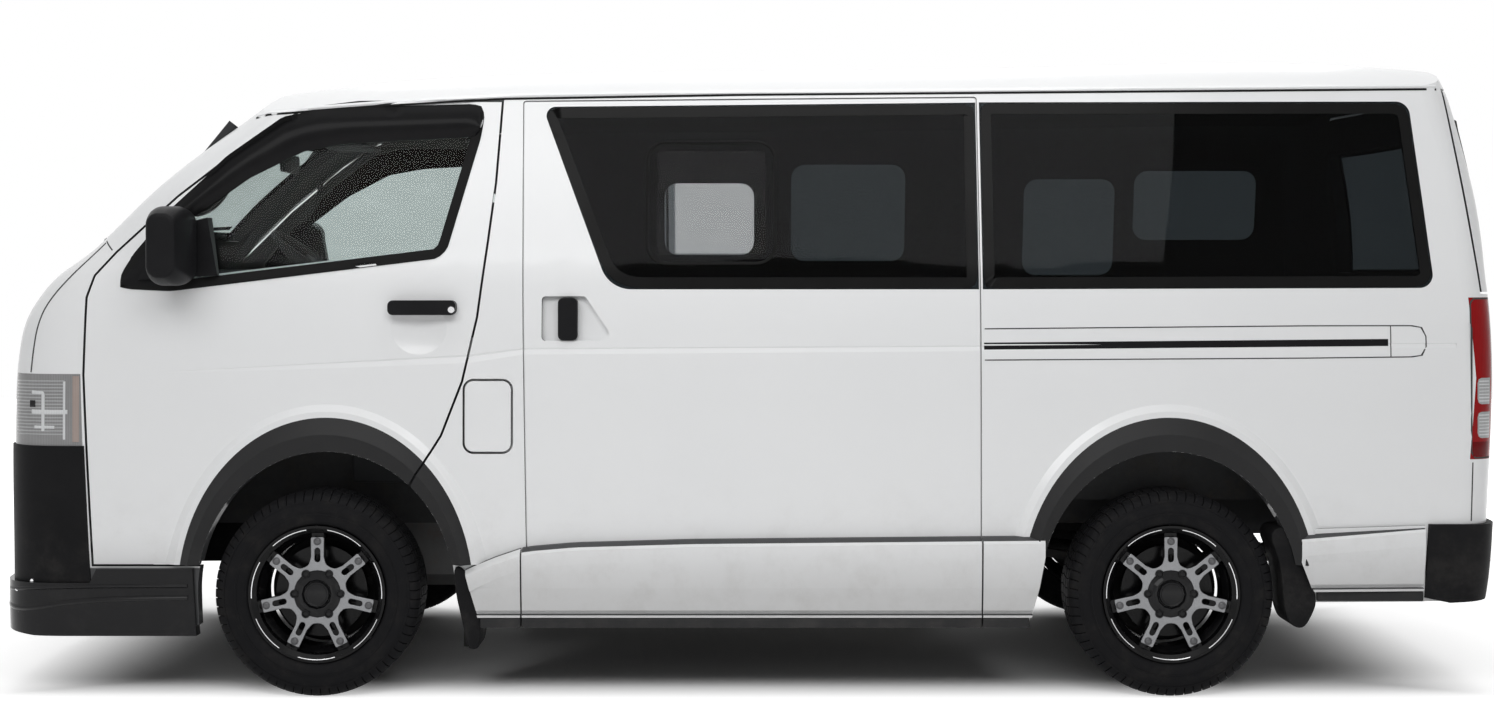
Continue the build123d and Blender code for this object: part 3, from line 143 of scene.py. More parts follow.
class Recipe:
    """A node material: adds nodes, links them and fills in the main shader."""

    def __init__(self, name):
        self.mat = bpy.data.materials.new(name)
        self.mat.use_nodes = True
        self.tree = self.mat.node_tree
        self.shader = self.tree.nodes["Principled BSDF"]
        coords = self.node("TexCoord", {})
        self.place = coords["Object"]
        self.normal = coords["Normal"]
        self.split = None

    def node(self, kind, inputs, **settings):
        return add_node(self.tree, kind, inputs, **settings)

    def fill(self, **values):
        """Fills in the main shader. A name's underscores stand for spaces."""
        for name, value in values.items():
            feed(self.tree, self.shader.inputs[name.replace("_", " ")], value)

    def math(self, operation, first, second=0.0):
        return self.node("Math", {0: first, 1: second}, operation=operation)[0]

    def axis(self, letter):
        """One coordinate of the piece's own space."""
        if self.split is None:
            self.split = self.node("SeparateXYZ", {0: self.place})
        return self.split[letter.upper()]

    def times(self, first, second):
        return self.math("MULTIPLY", first, second)

    def off_middle(self, letter, middle=0.0):
        """How far a point is from a middle plane along one axis."""
        offset = self.math("ADD", self.axis(letter), -middle) if middle else self.axis(letter)
        return self.math("ABSOLUTE", offset)

    def span(self, value, low, high):
        """0 below low, 1 above high, smooth between. High may be under low."""
        ends = {"Value": value, "From Min": low, "From Max": high}
        return self.node("MapRange", ends, interpolation_type="SMOOTHSTEP")[0]

    def noise(self, scale, detail=4.0, roughness=0.6, stretch=(1, 1, 1)):
        place = self.node("Mapping", {"Vector": self.place, "Scale": stretch})[0]
        shape = {"Vector": place, "Scale": scale, "Detail": detail, "Roughness": roughness}
        return self.node("TexNoise", shape)[0]

    def cells(self, scale):
        return self.node("TexVoronoi", {"Vector": self.place, "Scale": scale})["Distance"]

    def waves(self, scale, direction="Z", distortion=0.0):
        shape = {"Vector": self.place, "Scale": scale, "Distortion": distortion}
        return self.node("TexWave", shape, bands_direction=direction)["Fac"]

    def blend(self, share, first, second):
        """Colour that goes from first to second as share goes from 0 to 1."""
        return self.node("Mix", {"Factor": share, 6: first, 7: second}, data_type="RGBA")[2]

    def lerp(self, share, first, second):
        """Number that goes from first to second as share goes from 0 to 1."""
        return self.node("MapRange", {"Value": share, "To Min": first, "To Max": second})[0]

    def bump(self, height, depth, strength=1.0):
        """Bump of so many metres, on top of any bump given before."""
        inputs = {"Strength": strength, "Distance": depth, "Height": height}
        links = self.shader.inputs["Normal"].links
        if links:
            inputs["Normal"] = links[0].from_socket
        self.fill(Normal=self.node("Bump", inputs)[0])

    def finish(self, colour, roughness=0.5, metallic=0.0, coat=0.0, coat_roughness=0.05, specular=0.5):
        """Fills the shader in and gives the material."""
        self.fill(Base_Color=colour, Roughness=roughness, Metallic=metallic)
        self.shader.inputs["Coat Weight"].default_value = coat
        self.shader.inputs["Coat Roughness"].default_value = coat_roughness
        self.shader.inputs["Specular IOR Level"].default_value = specular
        return self.mat


def facing_in(recipe):
    """1 on faces that look into the van, 0 on those that look out."""
    way = recipe.node("VectorMath", {0: recipe.place, 1: (0.0, 0.0, 1.0)}, operation="SUBTRACT")[0]
    facing = recipe.node("VectorMath", {0: way, 1: recipe.normal}, operation="DOT_PRODUCT")["Value"]
    return recipe.span(facing, 0.0, -0.05)


def grime(recipe, low=0.15, high=0.75):
    """Patchy road dirt that fades out with height."""
    height = recipe.span(recipe.axis("z"), high, low)
    patches = recipe.span(recipe.noise(9.0, 6.0, 0.7), 0.42, 0.75)
    return recipe.times(height, patches)


def van_paint():
    """White enamel outside with patchy road dirt and a painted shade that darkens it towards the bottom, dark
    trim on the faces that look into the van.
    """
    r = Recipe("white_paint")
    tone = r.blend(r.noise(1.6, 3.0), (0.80, 0.81, 0.82), (0.84, 0.845, 0.85))
    dirt_and_low_shade = r.blend(r.times(grime(r), 0.30), tone, (0.42, 0.40, 0.37))
    # painted shade: a grey film that darkens the lower body from z 0.52 down to 0.28
    painted_low_shade = r.times(r.span(r.axis("z"), 0.52, 0.28), r.lerp(r.noise(2.5, 3.0), 0.42, 0.58))
    dirt_and_low_shade = r.blend(painted_low_shade, dirt_and_low_shade, (0.34, 0.335, 0.33))
    inside = facing_in(r)
    lining = r.blend(r.noise(60.0), (0.022, 0.023, 0.025), (0.034, 0.035, 0.037))
    low = r.times(r.span(r.axis("z"), 0.392, 0.386), r.span(r.axis("x"), -1.57, -1.59))
    inside = r.math("MAXIMUM", inside, low)
    colour = r.blend(inside, dirt_and_low_shade, lining)
    gloss = r.lerp(r.noise(5.0, 5.0), 0.26, 0.38)
    roughness = r.node("Mix", {"Factor": inside, 2: gloss, 3: 0.75})[0]
    r.bump(r.noise(420.0, 2.0), 0.00004, 0.35)
    return r.finish(colour, roughness, coat=0.35, coat_roughness=0.08)


def moulded_plastic(name, dark, light, roughness=0.5, grain=900.0, depth=0.00018, dirt=0.15, specular=0.06):
    """Textured moulding with fine grain, faint wear and road dust low down."""
    r = Recipe(name)
    tone = r.blend(r.noise(7.0, 6.0, 0.65), dark, light)
    colour = r.blend(r.times(grime(r), dirt), tone, (0.16, 0.15, 0.14))
    r.bump(r.cells(grain), depth, 0.5)
    r.bump(r.noise(30.0), 0.0003, 0.2)
    return r.finish(colour, r.lerp(r.noise(14.0, 5.0), roughness - 0.08, roughness + 0.1), specular=specular)


def gloss_black():
    """Painted black with a deep coat and light scuffs."""
    r = Recipe("gloss_black")
    scuffs = r.span(r.noise(40.0, 8.0, 0.8, (1, 1, 5)), 0.60, 0.72)
    dust = r.times(grime(r, 0.1, 0.5), 0.06)
    colour = r.blend(dust, r.blend(scuffs, (0.010, 0.010, 0.011), (0.028, 0.028, 0.029)), (0.2, 0.19, 0.18))
    r.bump(r.noise(260.0, 2.0), 0.00004, 0.4)
    return r.finish(colour, r.lerp(scuffs, 0.16, 0.34), coat=0.04, specular=0.14)


def clear_sheet(recipe, tint, roughness):
    """Glass shader: lets tinted light through and bends it very little."""
    recipe.shader.inputs["Transmission Weight"].default_value = 1.0
    recipe.shader.inputs["IOR"].default_value = GLASS_IOR
    return recipe.finish(tint, roughness)


def window_glass(name, tint, streak_tint):
    """Glass: a smooth tinted sheet with faint wiped streaks."""
    r = Recipe(name)
    streaks = r.span(r.noise(6.0, 5.0, 0.6, (1, 1, 3)), 0.45, 0.8)
    return clear_sheet(r, r.blend(streaks, tint, streak_tint), r.lerp(streaks, 0.0, 0.02))


def side_glass_tint():
    """Near-black privacy tint with a dotted border and one clear sliding pane each side."""
    r = Recipe("privacy_glass")
    across = r.span(r.off_middle("x", SLIDER_X), SLIDER_HALF_X, SLIDER_HALF_X - 0.008)
    up = r.span(r.off_middle("z", SLIDER_Z), SLIDER_HALF_Z, SLIDER_HALF_Z - 0.008)
    pane = r.times(across, up)
    smears = r.noise(5.0, 5.0, 0.6, (1, 1, 3))
    tint = r.blend(smears, PRIVACY_TINT, PRIVACY_STREAK)
    return clear_sheet(r, r.blend(pane, tint, (0.55, 0.56, 0.565)), r.lerp(smears, 0.0, 0.02))


def lamp_lens(name, colour, deep, coat=0.1, specular=0.3):
    """Moulded lens: a clear coat over fine vertical flutes."""
    r = Recipe(name)
    flutes = r.waves(60.0, "X")
    tone = r.blend(r.times(flutes, r.noise(20.0)), colour, deep)
    r.bump(flutes, 0.0006, 0.3)
    return r.finish(tone, r.lerp(r.noise(25.0), 0.06, 0.16), coat=coat, specular=specular)


def tyre_rubber():
    """Tyre: matt rubber with moulding rings, brown dust and small scuffs."""
    r = Recipe("tyre_rubber")
    dust = r.span(r.noise(16.0, 8.0, 0.75), 0.45, 0.85)
    colour = r.blend(r.times(dust, 0.35), (0.010, 0.010, 0.011), (0.060, 0.055, 0.050))
    r.bump(r.noise(300.0, 3.0), 0.0003, 0.5)
    return r.finish(colour, r.lerp(dust, 0.55, 0.8), specular=0.05)


def wheel_black(name):
    """Cast wheel: gloss black with brake dust settled in its pockets."""
    r = Recipe(name)
    dust = r.span(r.noise(24.0, 7.0, 0.7), 0.45, 0.8)
    colour = r.blend(r.times(dust, 0.2), (0.004, 0.004, 0.0045), (0.035, 0.032, 0.030))
    r.bump(r.noise(200.0, 2.0), 0.00005, 0.4)
    return r.finish(colour, r.lerp(dust, 0.18, 0.4), coat=0.03, specular=0.12)


def machined_face(name):
    """Lathe-cut metal: fine lines and a slow change of shade."""
    r = Recipe(name)
    lines = r.waves(260.0, "DIAGONAL", 1.5)
    shade = r.noise(14.0, 4.0)
    colour = r.blend(r.times(lines, shade), (0.17, 0.172, 0.18), (0.36, 0.365, 0.37))
    r.bump(lines, 0.00003, 0.4)
    return r.finish(colour, r.lerp(shade, 0.28, 0.42), metallic=0.8, specular=0.3)


def bare_metal(name, dark, light, roughness=0.4, rust=0.0):
    """Cast or drawn metal with streaks, and rust in patches where asked."""
    r = Recipe(name)
    streaks = r.noise(18.0, 8.0, 0.7, (1, 4, 1))
    patches = r.span(r.noise(11.0, 8.0, 0.75), 0.50, 0.72)
    colour = r.blend(r.times(patches, rust), r.blend(streaks, dark, light), (0.16, 0.07, 0.03))
    r.bump(r.noise(90.0, 5.0), 0.0004, 0.4)
    return r.finish(colour, r.lerp(streaks, roughness - 0.1, roughness + 0.15), metallic=0.9 - 0.6 * rust)


def chassis_paint(name, dark, light):
    """Brushed-on underbody coat with mud dried on it."""
    r = Recipe(name)
    mud = r.span(r.noise(7.0, 8.0, 0.8), 0.46, 0.78)
    colour = r.blend(r.times(mud, 0.5), r.blend(r.noise(25.0), dark, light), (0.11, 0.09, 0.07))
    r.bump(r.noise(70.0, 6.0), 0.0008, 0.5)
    return r.finish(colour, r.lerp(mud, 0.5, 0.85), specular=0.15)


def woven_cloth(name, dark, light):
    """Seat cloth: crossed threads and a slow change of shade."""
    r = Recipe(name)
    warp = r.waves(420.0, "X", 0.5)
    weft = r.waves(420.0, "Z", 0.5)
    weave = r.times(warp, weft)
    shade = r.blend(r.noise(12.0), dark, light)
    colour = r.blend(weave, shade, tuple(1.5 * c for c in light))
    r.bump(weave, 0.0005, 0.6)
    return r.finish(colour, r.lerp(r.noise(30.0), 0.8, 0.95))


# ---- the studio ----


def linked(name, data):
    """New object in the scene that shows some data."""
    obj = bpy.data.objects.new(name, data)
    bpy.context.scene.collection.objects.link(obj)
    return obj



def seen_white(tree):
    """1 for what the camera, mirrors and glass look at directly."""
    path = add_node(tree, "LightPath", {})
    total = path["Is Camera Ray"]
    for label in ("Is Glossy Ray", "Is Transmission Ray"):
        total = add_node(tree, "Math", {0: total, 1: path[label]}, operation="MAXIMUM")[0]
    return total


def build_studio():
    """Pale floor that glows white except round the van, leaving a painted shadow there, white surroundings
    and soft lamps.
    """
    scene = bpy.context.scene
    scene.view_settings.view_transform = "Standard"
    world = bpy.data.worlds.new("studio")
    world.use_nodes = True
    scene.world = world
    tree = world.node_tree
    tree.nodes.remove(tree.nodes["Background"])
    ground, white = (
        add_node(tree, "Background", {"Color": WHITE, "Strength": level})[0] for level in (WORLD_LEVEL, 1.0)
    )
    mix = add_node(tree, "MixShader", {0: seen_white(tree), 1: ground, 2: white})[0]
    tree.links.new(mix, tree.nodes["World Output"].inputs[0])

    mesh = bpy.data.meshes.new("studio_floor")
    half = FLOOR_HALF
    corners = [(-half, -half, 0), (half, -half, 0), (half, half, 0), (-half, half, 0)]
    mesh.from_pydata(corners, [], [(0, 1, 2, 3)])
    floor = linked("studio_floor", mesh)
    r = Recipe("studio_floor")
    r.fill(Emission_Color=WHITE)
    # painted shadow: the floor glows only outside a van-shaped patch, so the ground under and beside the van
    # stays dark
    beside = r.span(r.off_middle("y"), *SHADOW_EDGE_Y)
    beyond = r.span(r.off_middle("x"), *SHADOW_EDGE_X)
    clear = r.math("MAXIMUM", beside, beyond)
    far = r.math("MAXIMUM", r.span(r.off_middle("y"), *FAR_EDGE_Y), r.span(r.off_middle("x"), *FAR_EDGE_X))
    glow_round_painted_shadow = r.math("ADD", r.times(r.times(clear, clear), FLOOR_LIFT), r.times(far, FLOOR_LIFT))
    r.fill(Emission_Strength=r.times(seen_white(r.tree), glow_round_painted_shadow))
    tone = r.blend(r.noise(3.0), (0.90, 0.90, 0.90), (0.93, 0.93, 0.93))
    mesh.materials.append(r.finish(tone, 0.95, specular=0.0))

    for name, place, size, power, target in LAMPS:
        light = bpy.data.lights.new(name, "AREA")
        light.shape = "RECTANGLE"
        light.size, light.size_y = size
        light.energy = power
        lamp = linked(name, light)
        lamp.location = place
        lamp.rotation_euler = (Vector(target) - Vector(place)).to_track_quat("-Z", "Y").to_euler()


def build_camera():
    """Level camera square on to the van's left side."""
    data = bpy.data.cameras.new("camera")
    data.lens = CAMERA_LENS
    data.sensor_width = 36.0
    data.shift_y = CAMERA_SHIFT
    camera = linked("camera", data)
    camera.location = CAMERA_PLACE
    camera.rotation_euler = (math.radians(90), 0, 0)
    bpy.context.scene.camera = camera


# ---- shapes ----


def keep(obj, look, body="body", smooth=True):
    """Finishes a piece: its material, shading and body."""
    obj.data.materials.append(MATS[look])
    if smooth and obj.type == "MESH":
        obj.data.shade_smooth()
        obj.data.set_sharp_from_angle(angle=math.radians(35))
    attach(obj, body)
    return obj


def from_bmesh(name, bm):
    mesh = bpy.data.meshes.new(name)
    bm.to_mesh(mesh)
    bm.free()
    return linked(name, mesh)


def from_curve(name, curve):
    """Mesh object with the shape of a curve."""
    rough = linked(name + "_curve", curve)
    bpy.context.view_layer.update()
    mesh = bpy.data.meshes.new_from_object(rough.evaluated_get(bpy.context.evaluated_depsgraph_get()))
    bpy.data.objects.remove(rough)
    mesh.materials.clear()
    return linked(name, mesh)


def mesh_piece(name, points, faces):
    """Mesh object with doubled points joined and its faces pointing out."""
    mesh = bpy.data.meshes.new(name)
    mesh.from_pydata([tuple(p) for p in points], [], faces)
    mesh.validate()
    bm = bmesh.new()
    bm.from_mesh(mesh)
    bmesh.ops.remove_doubles(bm, verts=bm.verts, dist=1e-6)
    bmesh.ops.recalc_face_normals(bm, faces=bm.faces)
    bm.to_mesh(mesh)
    bm.free()
    return linked(name, mesh)


def grid_faces(rows, columns, closed_rows=False, closed_columns=False):
    """Quads of a grid whose point (i, j) is number i * columns + j."""
    faces = []
    for i in range(rows if closed_rows else rows - 1):
        for j in range(columns if closed_columns else columns - 1):
            a, b = i, (i + 1) % rows
            c, d = j, (j + 1) % columns
            faces.append((a * columns + c, b * columns + c, b * columns + d, a * columns + d))
    return faces


def turned(name, profile, centre, side=-1, steps=72, start=0.0, sweep=360.0):
    """Ring turned about a line along Y: profile is (radius, distance outboard of centre)."""
    rows = steps if sweep >= 360 else steps + 1
    points = []
    for i in range(rows):
        angle = math.radians(start + sweep * i / steps)
        for radius, out in profile:
            points.append(
                (
                    centre[0] + radius * math.cos(angle),
                    centre[1] + side * out,
                    centre[2] + radius * math.sin(angle),
                )
            )
    faces = grid_faces(rows, len(profile), closed_rows=sweep >= 360, closed_columns=True)
    if sweep < 360:
        count = len(profile)
        faces += [tuple(range(count)), tuple(range((rows - 1) * count, rows * count))]
    return mesh_piece(name, points, faces)


def rounded_block(name, low, high, radius, segments=3):
    """Box with rounded edges, from its lowest corner to its highest."""
    bm = bmesh.new()
    bmesh.ops.create_cube(bm, size=1.0)
    for v in bm.verts:
        v.co = Vector([low[i] + (v.co[i] + 0.5) * (high[i] - low[i]) for i in range(3)])
    bmesh.ops.bevel(bm, geom=bm.edges[:], offset=radius, segments=segments, profile=0.5, affect="EDGES")
    return from_bmesh(name, bm)


def round_bar(name, points, radius, closed=False):
    """Bar of round section bent smoothly along points."""
    curve = bpy.data.curves.new(name, "CURVE")
    curve.dimensions = "3D"
    curve.bevel_depth = radius
    curve.bevel_resolution = 5
    curve.use_fill_caps = True
    spline = curve.splines.new("NURBS")
    spline.points.add(len(points) - 1)
    for target, point in zip(spline.points, points):
        target.co = (*point, 1.0)
    spline.use_cyclic_u = closed
    spline.use_endpoint_u = not closed
    spline.order_u = min(4, len(points))
    spline.resolution_u = 10
    return from_curve(name, curve)


# ---- laying pieces on the body's curved sides ----


class View:
    """The surface of some CAD nodes, seen square on along one axis from one side.

    axis is 1 to look at a side of the van and 0 to look at its front or rear; way is -1 or 1.
    """

    def __init__(self, names, axis, way, reach=0.25):
        self.reach = reach
        self.axis = axis
        self.way = way
        self.along = 1 - axis
        points = []
        faces = []
        for name in names:
            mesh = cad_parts[name].data
            base = len(points)
            points += [v.co.copy() for v in mesh.vertices]
            faces += [[base + i for i in p.vertices] for p in mesh.polygons]
        self.tree = BVHTree.FromPolygons(points, faces)

    def point(self, u, z, out):
        """Point at u along the view and z up, out metres from the van's middle."""
        place = Vector((0.0, 0.0, z))
        place[self.along] = u
        place[self.axis] = self.way * out
        return place

    def out(self, u, z):
        """How far out the surface is, or None where there is none."""
        ray = Vector((0.0, 0.0, 0.0))
        ray[self.axis] = -self.way
        hit = self.tree.ray_cast(self.point(u, z, 4.0), ray)[0]
        return None if hit is None else abs(hit[self.axis])


def side_view(side, *names):
    return View(names, 1, side)


def end_view(way, *names):
    return View(names, 0, way, 0.7)


def along(points, count):
    """Points spaced evenly along a polyline of (x, z) points."""
    points = [Vector(p) for p in points]
    lengths = [(b - a).length for a, b in zip(points, points[1:])]
    total = sum(lengths)
    result = []
    for i in range(count):
        left = total * i / (count - 1)
        for a, b, length in zip(points, points[1:], lengths):
            if left <= length + 1e-9:
                result.append(a.lerp(b, left / length if length else 0))
                break
            left -= length
        else:
            result.append(points[-1])
    return result


def smoothed(points, rounds=2, closed=False):
    """Polyline with its corners cut off, round after round."""
    points = [Vector(p) for p in points]
    for _ in range(rounds):
        cut = [] if closed else [points[0]]
        pairs = list(zip(points, points[1:] + points[:1])) if closed else list(zip(points, points[1:]))
        for a, b in pairs:
            cut += [a.lerp(b, 0.25), a.lerp(b, 0.75)]
        if not closed:
            cut.append(points[-1])
        points = cut
    return points


def sheet_on(name, view, first, second, crown, proud, sink, count, across):
    """Closed sheet on a surface between two (u, z) lines, swelling by crown in its middle."""
    edges = along(first, count), along(second, count)
    places = []
    for i in range(count):
        for j in range(across):
            share = j / (across - 1)
            at = edges[0][i].lerp(edges[1][i], share)
            places.append((at, share, view.out(at.x, at.y)))
    known = sorted(out for _, _, out in places if out is not None)
    middle = known[len(known) // 2]
    last = middle
    outer = []
    inner = []
    for at, share, out in places:
        if out is not None and abs(out - middle) < view.reach:
            last = out
        outer.append(view.point(at.x, at.y, last + proud + crown * math.sin(math.pi * share)))
        inner.append(view.point(at.x, at.y, last - sink))
    base = len(outer)
    faces = grid_faces(count, across)
    faces += [tuple(base + n for n in reversed(f)) for f in grid_faces(count, across)]
    rim = [i * across for i in range(count)]
    rim += [(count - 1) * across + j for j in range(1, across)]
    rim += [i * across + across - 1 for i in range(count - 2, -1, -1)]
    rim += list(range(across - 2, 0, -1))
    for a, b in zip(rim, rim[1:] + rim[:1]):
        faces.append((a, b, base + b, base + a))
    return mesh_piece(name, outer + inner, faces)


def patch(look, name, view, low, high, crown, proud, sink, count, across, body="body", slot=None):
    """A sheet laid on a surface between a low and a high line, and kept as a piece."""
    keep(sheet_on(name, view, low, high, crown, proud, sink, count, across), look, body)


def strip(look, name, view, path, width, proud, sink, count, crown=0.0, closed=False, body="body", slot=None):
    """A strip of one width laid along a line of (u, z) points on a surface, and kept as a piece."""
    spots = along([*path, path[0]] if closed else path, count)
    left = []
    right = []
    for i, at in enumerate(spots):
        before = spots[i - 1] if i else (spots[-2] if closed else at)
        after = spots[i + 1] if i + 1 < count else (spots[1] if closed else at)
        way = (after - before).normalized()
        aside = Vector((-way.y, way.x)) * width / 2
        left.append(at + aside)
        right.append(at - aside)
    patch(look, name, view, left, right, crown, proud, sink, count, 5 if crown else 3, body, slot)


# ---- outside of the body ----


def shifted(points, place):
    """(x, z) points moved along the van to a place such as an axle."""
    return [(place + x, z) for x, z in points]


def rounded_outline(low, high, radius, steps=5):
    """Rounded rectangle in (x, z), as a closed list of points."""
    points = []
    corners = (
        (high[0] - radius, high[1] - radius, 0),
        (low[0] + radius, high[1] - radius, 90),
        (low[0] + radius, low[1] + radius, 180),
        (high[0] - radius, low[1] + radius, 270),
    )
    for x, z, start in corners:
        for i in range(steps + 1):
            angle = math.radians(start + 90 * i / steps)
            points.append((x + radius * math.cos(angle), z + radius * math.sin(angle)))
    return points


def rounded_path(corners, steps=5):
    """Closed outline through corners given as (x, z, radius)."""
    points = []
    for i, (x, z, radius) in enumerate(corners):
        corner = Vector((x, z))
        if not radius:
            points.append(corner)
            continue
        before = (Vector(corners[i - 1][:2]) - corner).normalized() * radius
        after = (Vector(corners[(i + 1) % len(corners)][:2]) - corner).normalized() * radius
        for k in range(steps + 1):
            t = k / steps
            points.append(corner + before * (1 - t) ** 2 + after * t ** 2)
    return points


def height_on(line, x):
    """Height of a line of (x, z) points at one x."""
    for (x0, z0), (x1, z1) in zip(line, line[1:]):
        if x <= x1:
            return z0 + (z1 - z0) * max(0.0, (x - x0) / (x1 - x0))
    return line[-1][1]


CREASE = [(-0.850, 0.380), (-0.747, 0.422), (-0.659, 0.452), (-0.506, 0.465), (-0.153, 0.475), (0.901, 0.485)]
TAIL_CREASE = [(1.660, 0.488), (2.050, 0.518)]
SKIRT_SHOULDER = 0.400
SKIRT_OUT = 0.886
SKIRT_BACK = 0.810
SKIRT_COLUMNS = 40
STRIP_BACK = 0.812
STRIP_INSET = 0.012
STRIP_HEIGHT = 0.030
# part, crease line, front x at the crease and at the bottom, rear x likewise, bottom, half width at the rear
SKIRTS = (
    ("front", CREASE, (-0.842, -0.790), (-0.671, -0.671), 0.213, SKIRT_OUT),
    ("door", CREASE, (-0.666, -0.666), (0.711, 0.711), 0.213, SKIRT_OUT),
    ("middle", CREASE, (0.716, 0.716), (0.901, 0.854), 0.213, SKIRT_OUT),
    ("tail", TAIL_CREASE, (1.668, 1.722), (2.044, 2.040), 0.290, 0.868),
)


def skirt_section(top, low, wide):
    """Outline of a skirt as (y, z): its ledge, its face, the bead at its foot and its back."""
    return (
        (0.830, top + 0.004), (wide - 0.028, top), (wide - 0.006, top - 0.010), (wide, top - 0.018),
        (wide - 0.001, top - 0.060), (wide - 0.006, low + 0.120), (wide - 0.016, low + 0.052),
        (wide - 0.020, low + 0.046), (wide - 0.022, low + 0.041), (wide - 0.010, low + 0.038),
        (wide - 0.010, low + 0.031), (SKIRT_BACK, low + 0.031), (SKIRT_BACK, top),
    )


def add_skirts():
    """Lower side panels: a ledge along the crease, a face that leans in, a bead and a dark sill strip."""
    for label, side in SIDES:
        for part, crease, front, rear, low, far in SKIRTS:
            points = []
            for i in range(SKIRT_COLUMNS):
                t = i / (SKIRT_COLUMNS - 1)
                top_x = front[0] + (rear[0] - front[0]) * t
                low_x = front[1] + (rear[1] - front[1]) * t
                section = skirt_section(height_on(crease, top_x), low, SKIRT_OUT + (far - SKIRT_OUT) * t)
                for y, z in section:
                    share = min(1.0, (z - low) / (SKIRT_SHOULDER - low))
                    points.append((low_x + (top_x - low_x) * share, side * y, z))
            size = len(section)
            faces = grid_faces(SKIRT_COLUMNS, size, False, True)
            faces += [tuple(range(size)), tuple(range((SKIRT_COLUMNS - 1) * size, SKIRT_COLUMNS * size))]
            keep(mesh_piece(f"skirt_{part}_{label}", points, faces), "paint", smooth=False)
            ys = sorted((side * STRIP_BACK, side * (far - STRIP_INSET)))
            start = (front[1] - 0.001, ys[0], low)
            end = (rear[1] + 0.001, ys[1], low + STRIP_HEIGHT)
            keep(rounded_block(f"sill_strip_{part}_{label}", start, end, 0.004), "flare")


MUDFLAP_Y = 0.777
MUDFLAP_THICK = 0.150
MUDFLAPS = (
    ("front", FRONT_AXLE, [
        (0.410, 0.400), (0.448, 0.385), (0.485, 0.300), (0.496, 0.240), (0.490, 0.150), (0.470, 0.143),
        (0.452, 0.152), (0.436, 0.235), (0.418, 0.310),
    ]),
    ("rear", REAR_AXLE, [
        (0.286, 0.512), (0.396, 0.512), (0.414, 0.400), (0.438, 0.292), (0.424, 0.250), (0.398, 0.206),
        (0.362, 0.214), (0.344, 0.245), (0.334, 0.300), (0.328, 0.400),
    ]),
)


def add_mudflaps():
    """Thick moulded flap behind each wheel, hung from the end of the arch."""
    for label, side in SIDES:
        for end, axle, outline in MUDFLAPS:
            ring = smoothed(shifted(outline, axle), 2, True)
            flap = flat_plate(f"mudflap_{end}_{label}", [ring], MUDFLAP_THICK, 0.004)
            for v in flap.data.vertices:
                v.co.y += side * MUDFLAP_Y
            keep(flap, "plastic")


GUTTER = [
    (-1.500, 1.762), (-1.479, 1.770), (-1.10, 1.799), (-0.750, 1.820), (0.0, 1.833), (0.713, 1.839),
    (2.130, 1.851),
]


def add_gutters():
    """Drip rail from the windscreen's top corner to the tail, with a dark strip under it as its painted
    shadow.
    """
    gutter_shadow_line = [(x, z - 0.010) for x, z in GUTTER]
    for label, side in SIDES:
        view = side_view(side, "body_shell")
        strip("paint", f"gutter_{label}", view, GUTTER, 0.012, 0.002, 0.006, 90, 0.004)
        # painted shadow: a thin dark rubber strip just under the drip rail
        strip("rubber", f"gutter_shadow_strip_{label}", view, gutter_shadow_line, 0.006, 0.0012, 0.003, 90, slot="black_trim")


DOOR_WINDOW = [
    (-0.585, 1.243), (-0.445, 1.236), (0.352, 1.334), (0.372, 1.352), (0.466, 1.695), (0.476, 1.770),
    (0.465, 1.780), (-0.014, 1.767), (-0.116, 1.738), (-0.282, 1.618), (-0.438, 1.466), (-0.548, 1.328),
    (-0.582, 1.267),
]
VISOR_TOP = [
    (-0.802, 1.742), (-0.806, 1.779), (-0.830, 1.790), (-1.299, 1.780), (-1.410, 1.752), (-1.573, 1.634),
    (-1.730, 1.482), (-1.792, 1.415),
]
VISOR_LOW = [
    (-0.812, 1.706), (-0.822, 1.694), (-0.860, 1.690), (-1.213, 1.671), (-1.344, 1.648), (-1.505, 1.566),
    (-1.691, 1.430), (-1.770, 1.362),
]
LOCK_PROFILE = [(0.0, 0.003), (0.009, 0.003), (0.011, 0.0), (0.0, -0.004)]
LOCK_PLACE = (FRONT_AXLE + 0.407, 1.166)


def spot(view, u, z):
    """Point of a surface as a plain tuple."""
    return tuple(view.point(u, z, view.out(u, z)))


def add_door_trim():
    """Window rubber, smoked rain visor and lock of both front doors."""
    for label, side in SIDES:
        body = f"front_{label}_door_body"
        view = side_view(side, f"front_{label}_door", f"front_{label}_glass")
        outline = shifted(DOOR_WINDOW, FRONT_AXLE)
        strip("rubber", f"door_rubber_{label}", view, outline, 0.030, 0.002, 0.003, 150, 0.002, True, body)
        patch("smoke", f"visor_{label}", view, VISOR_TOP, VISOR_LOW, 0.017, 0.004, 0.001, 70, 9, body)
        handle = side_view(side, f"front_{label}_handle")
        lock = turned(f"door_lock_{label}", LOCK_PROFILE, spot(handle, *LOCK_PLACE), side, 24)
        keep(lock, "chrome", body)


HOOD_EDGE = [
    (-1.945, 1.368), (-2.022, 1.288), (-2.108, 1.192), (-2.138, 1.120), (-2.149, 1.040), (-2.155, 0.976),
]
COWL_SEAM = [(-1.945, 1.374), (-1.915, 1.345)]
FOOT_LOW = [(-1.876, 1.240), (-1.800, 1.236), (-1.690, 1.236)]
FOOT_TOP = [(-1.870, 1.262), (-1.800, 1.352), (-1.690, 1.470)]
LIP_RIDGES = (
    ([(-2.235, 0.318), (-2.100, 0.334), (-1.672, 0.336)], 0.012),
    ([(-2.262, 0.268), (-2.180, 0.262), (-2.050, 0.285), (-1.900, 0.297), (-1.672, 0.300)], 0.016),
)


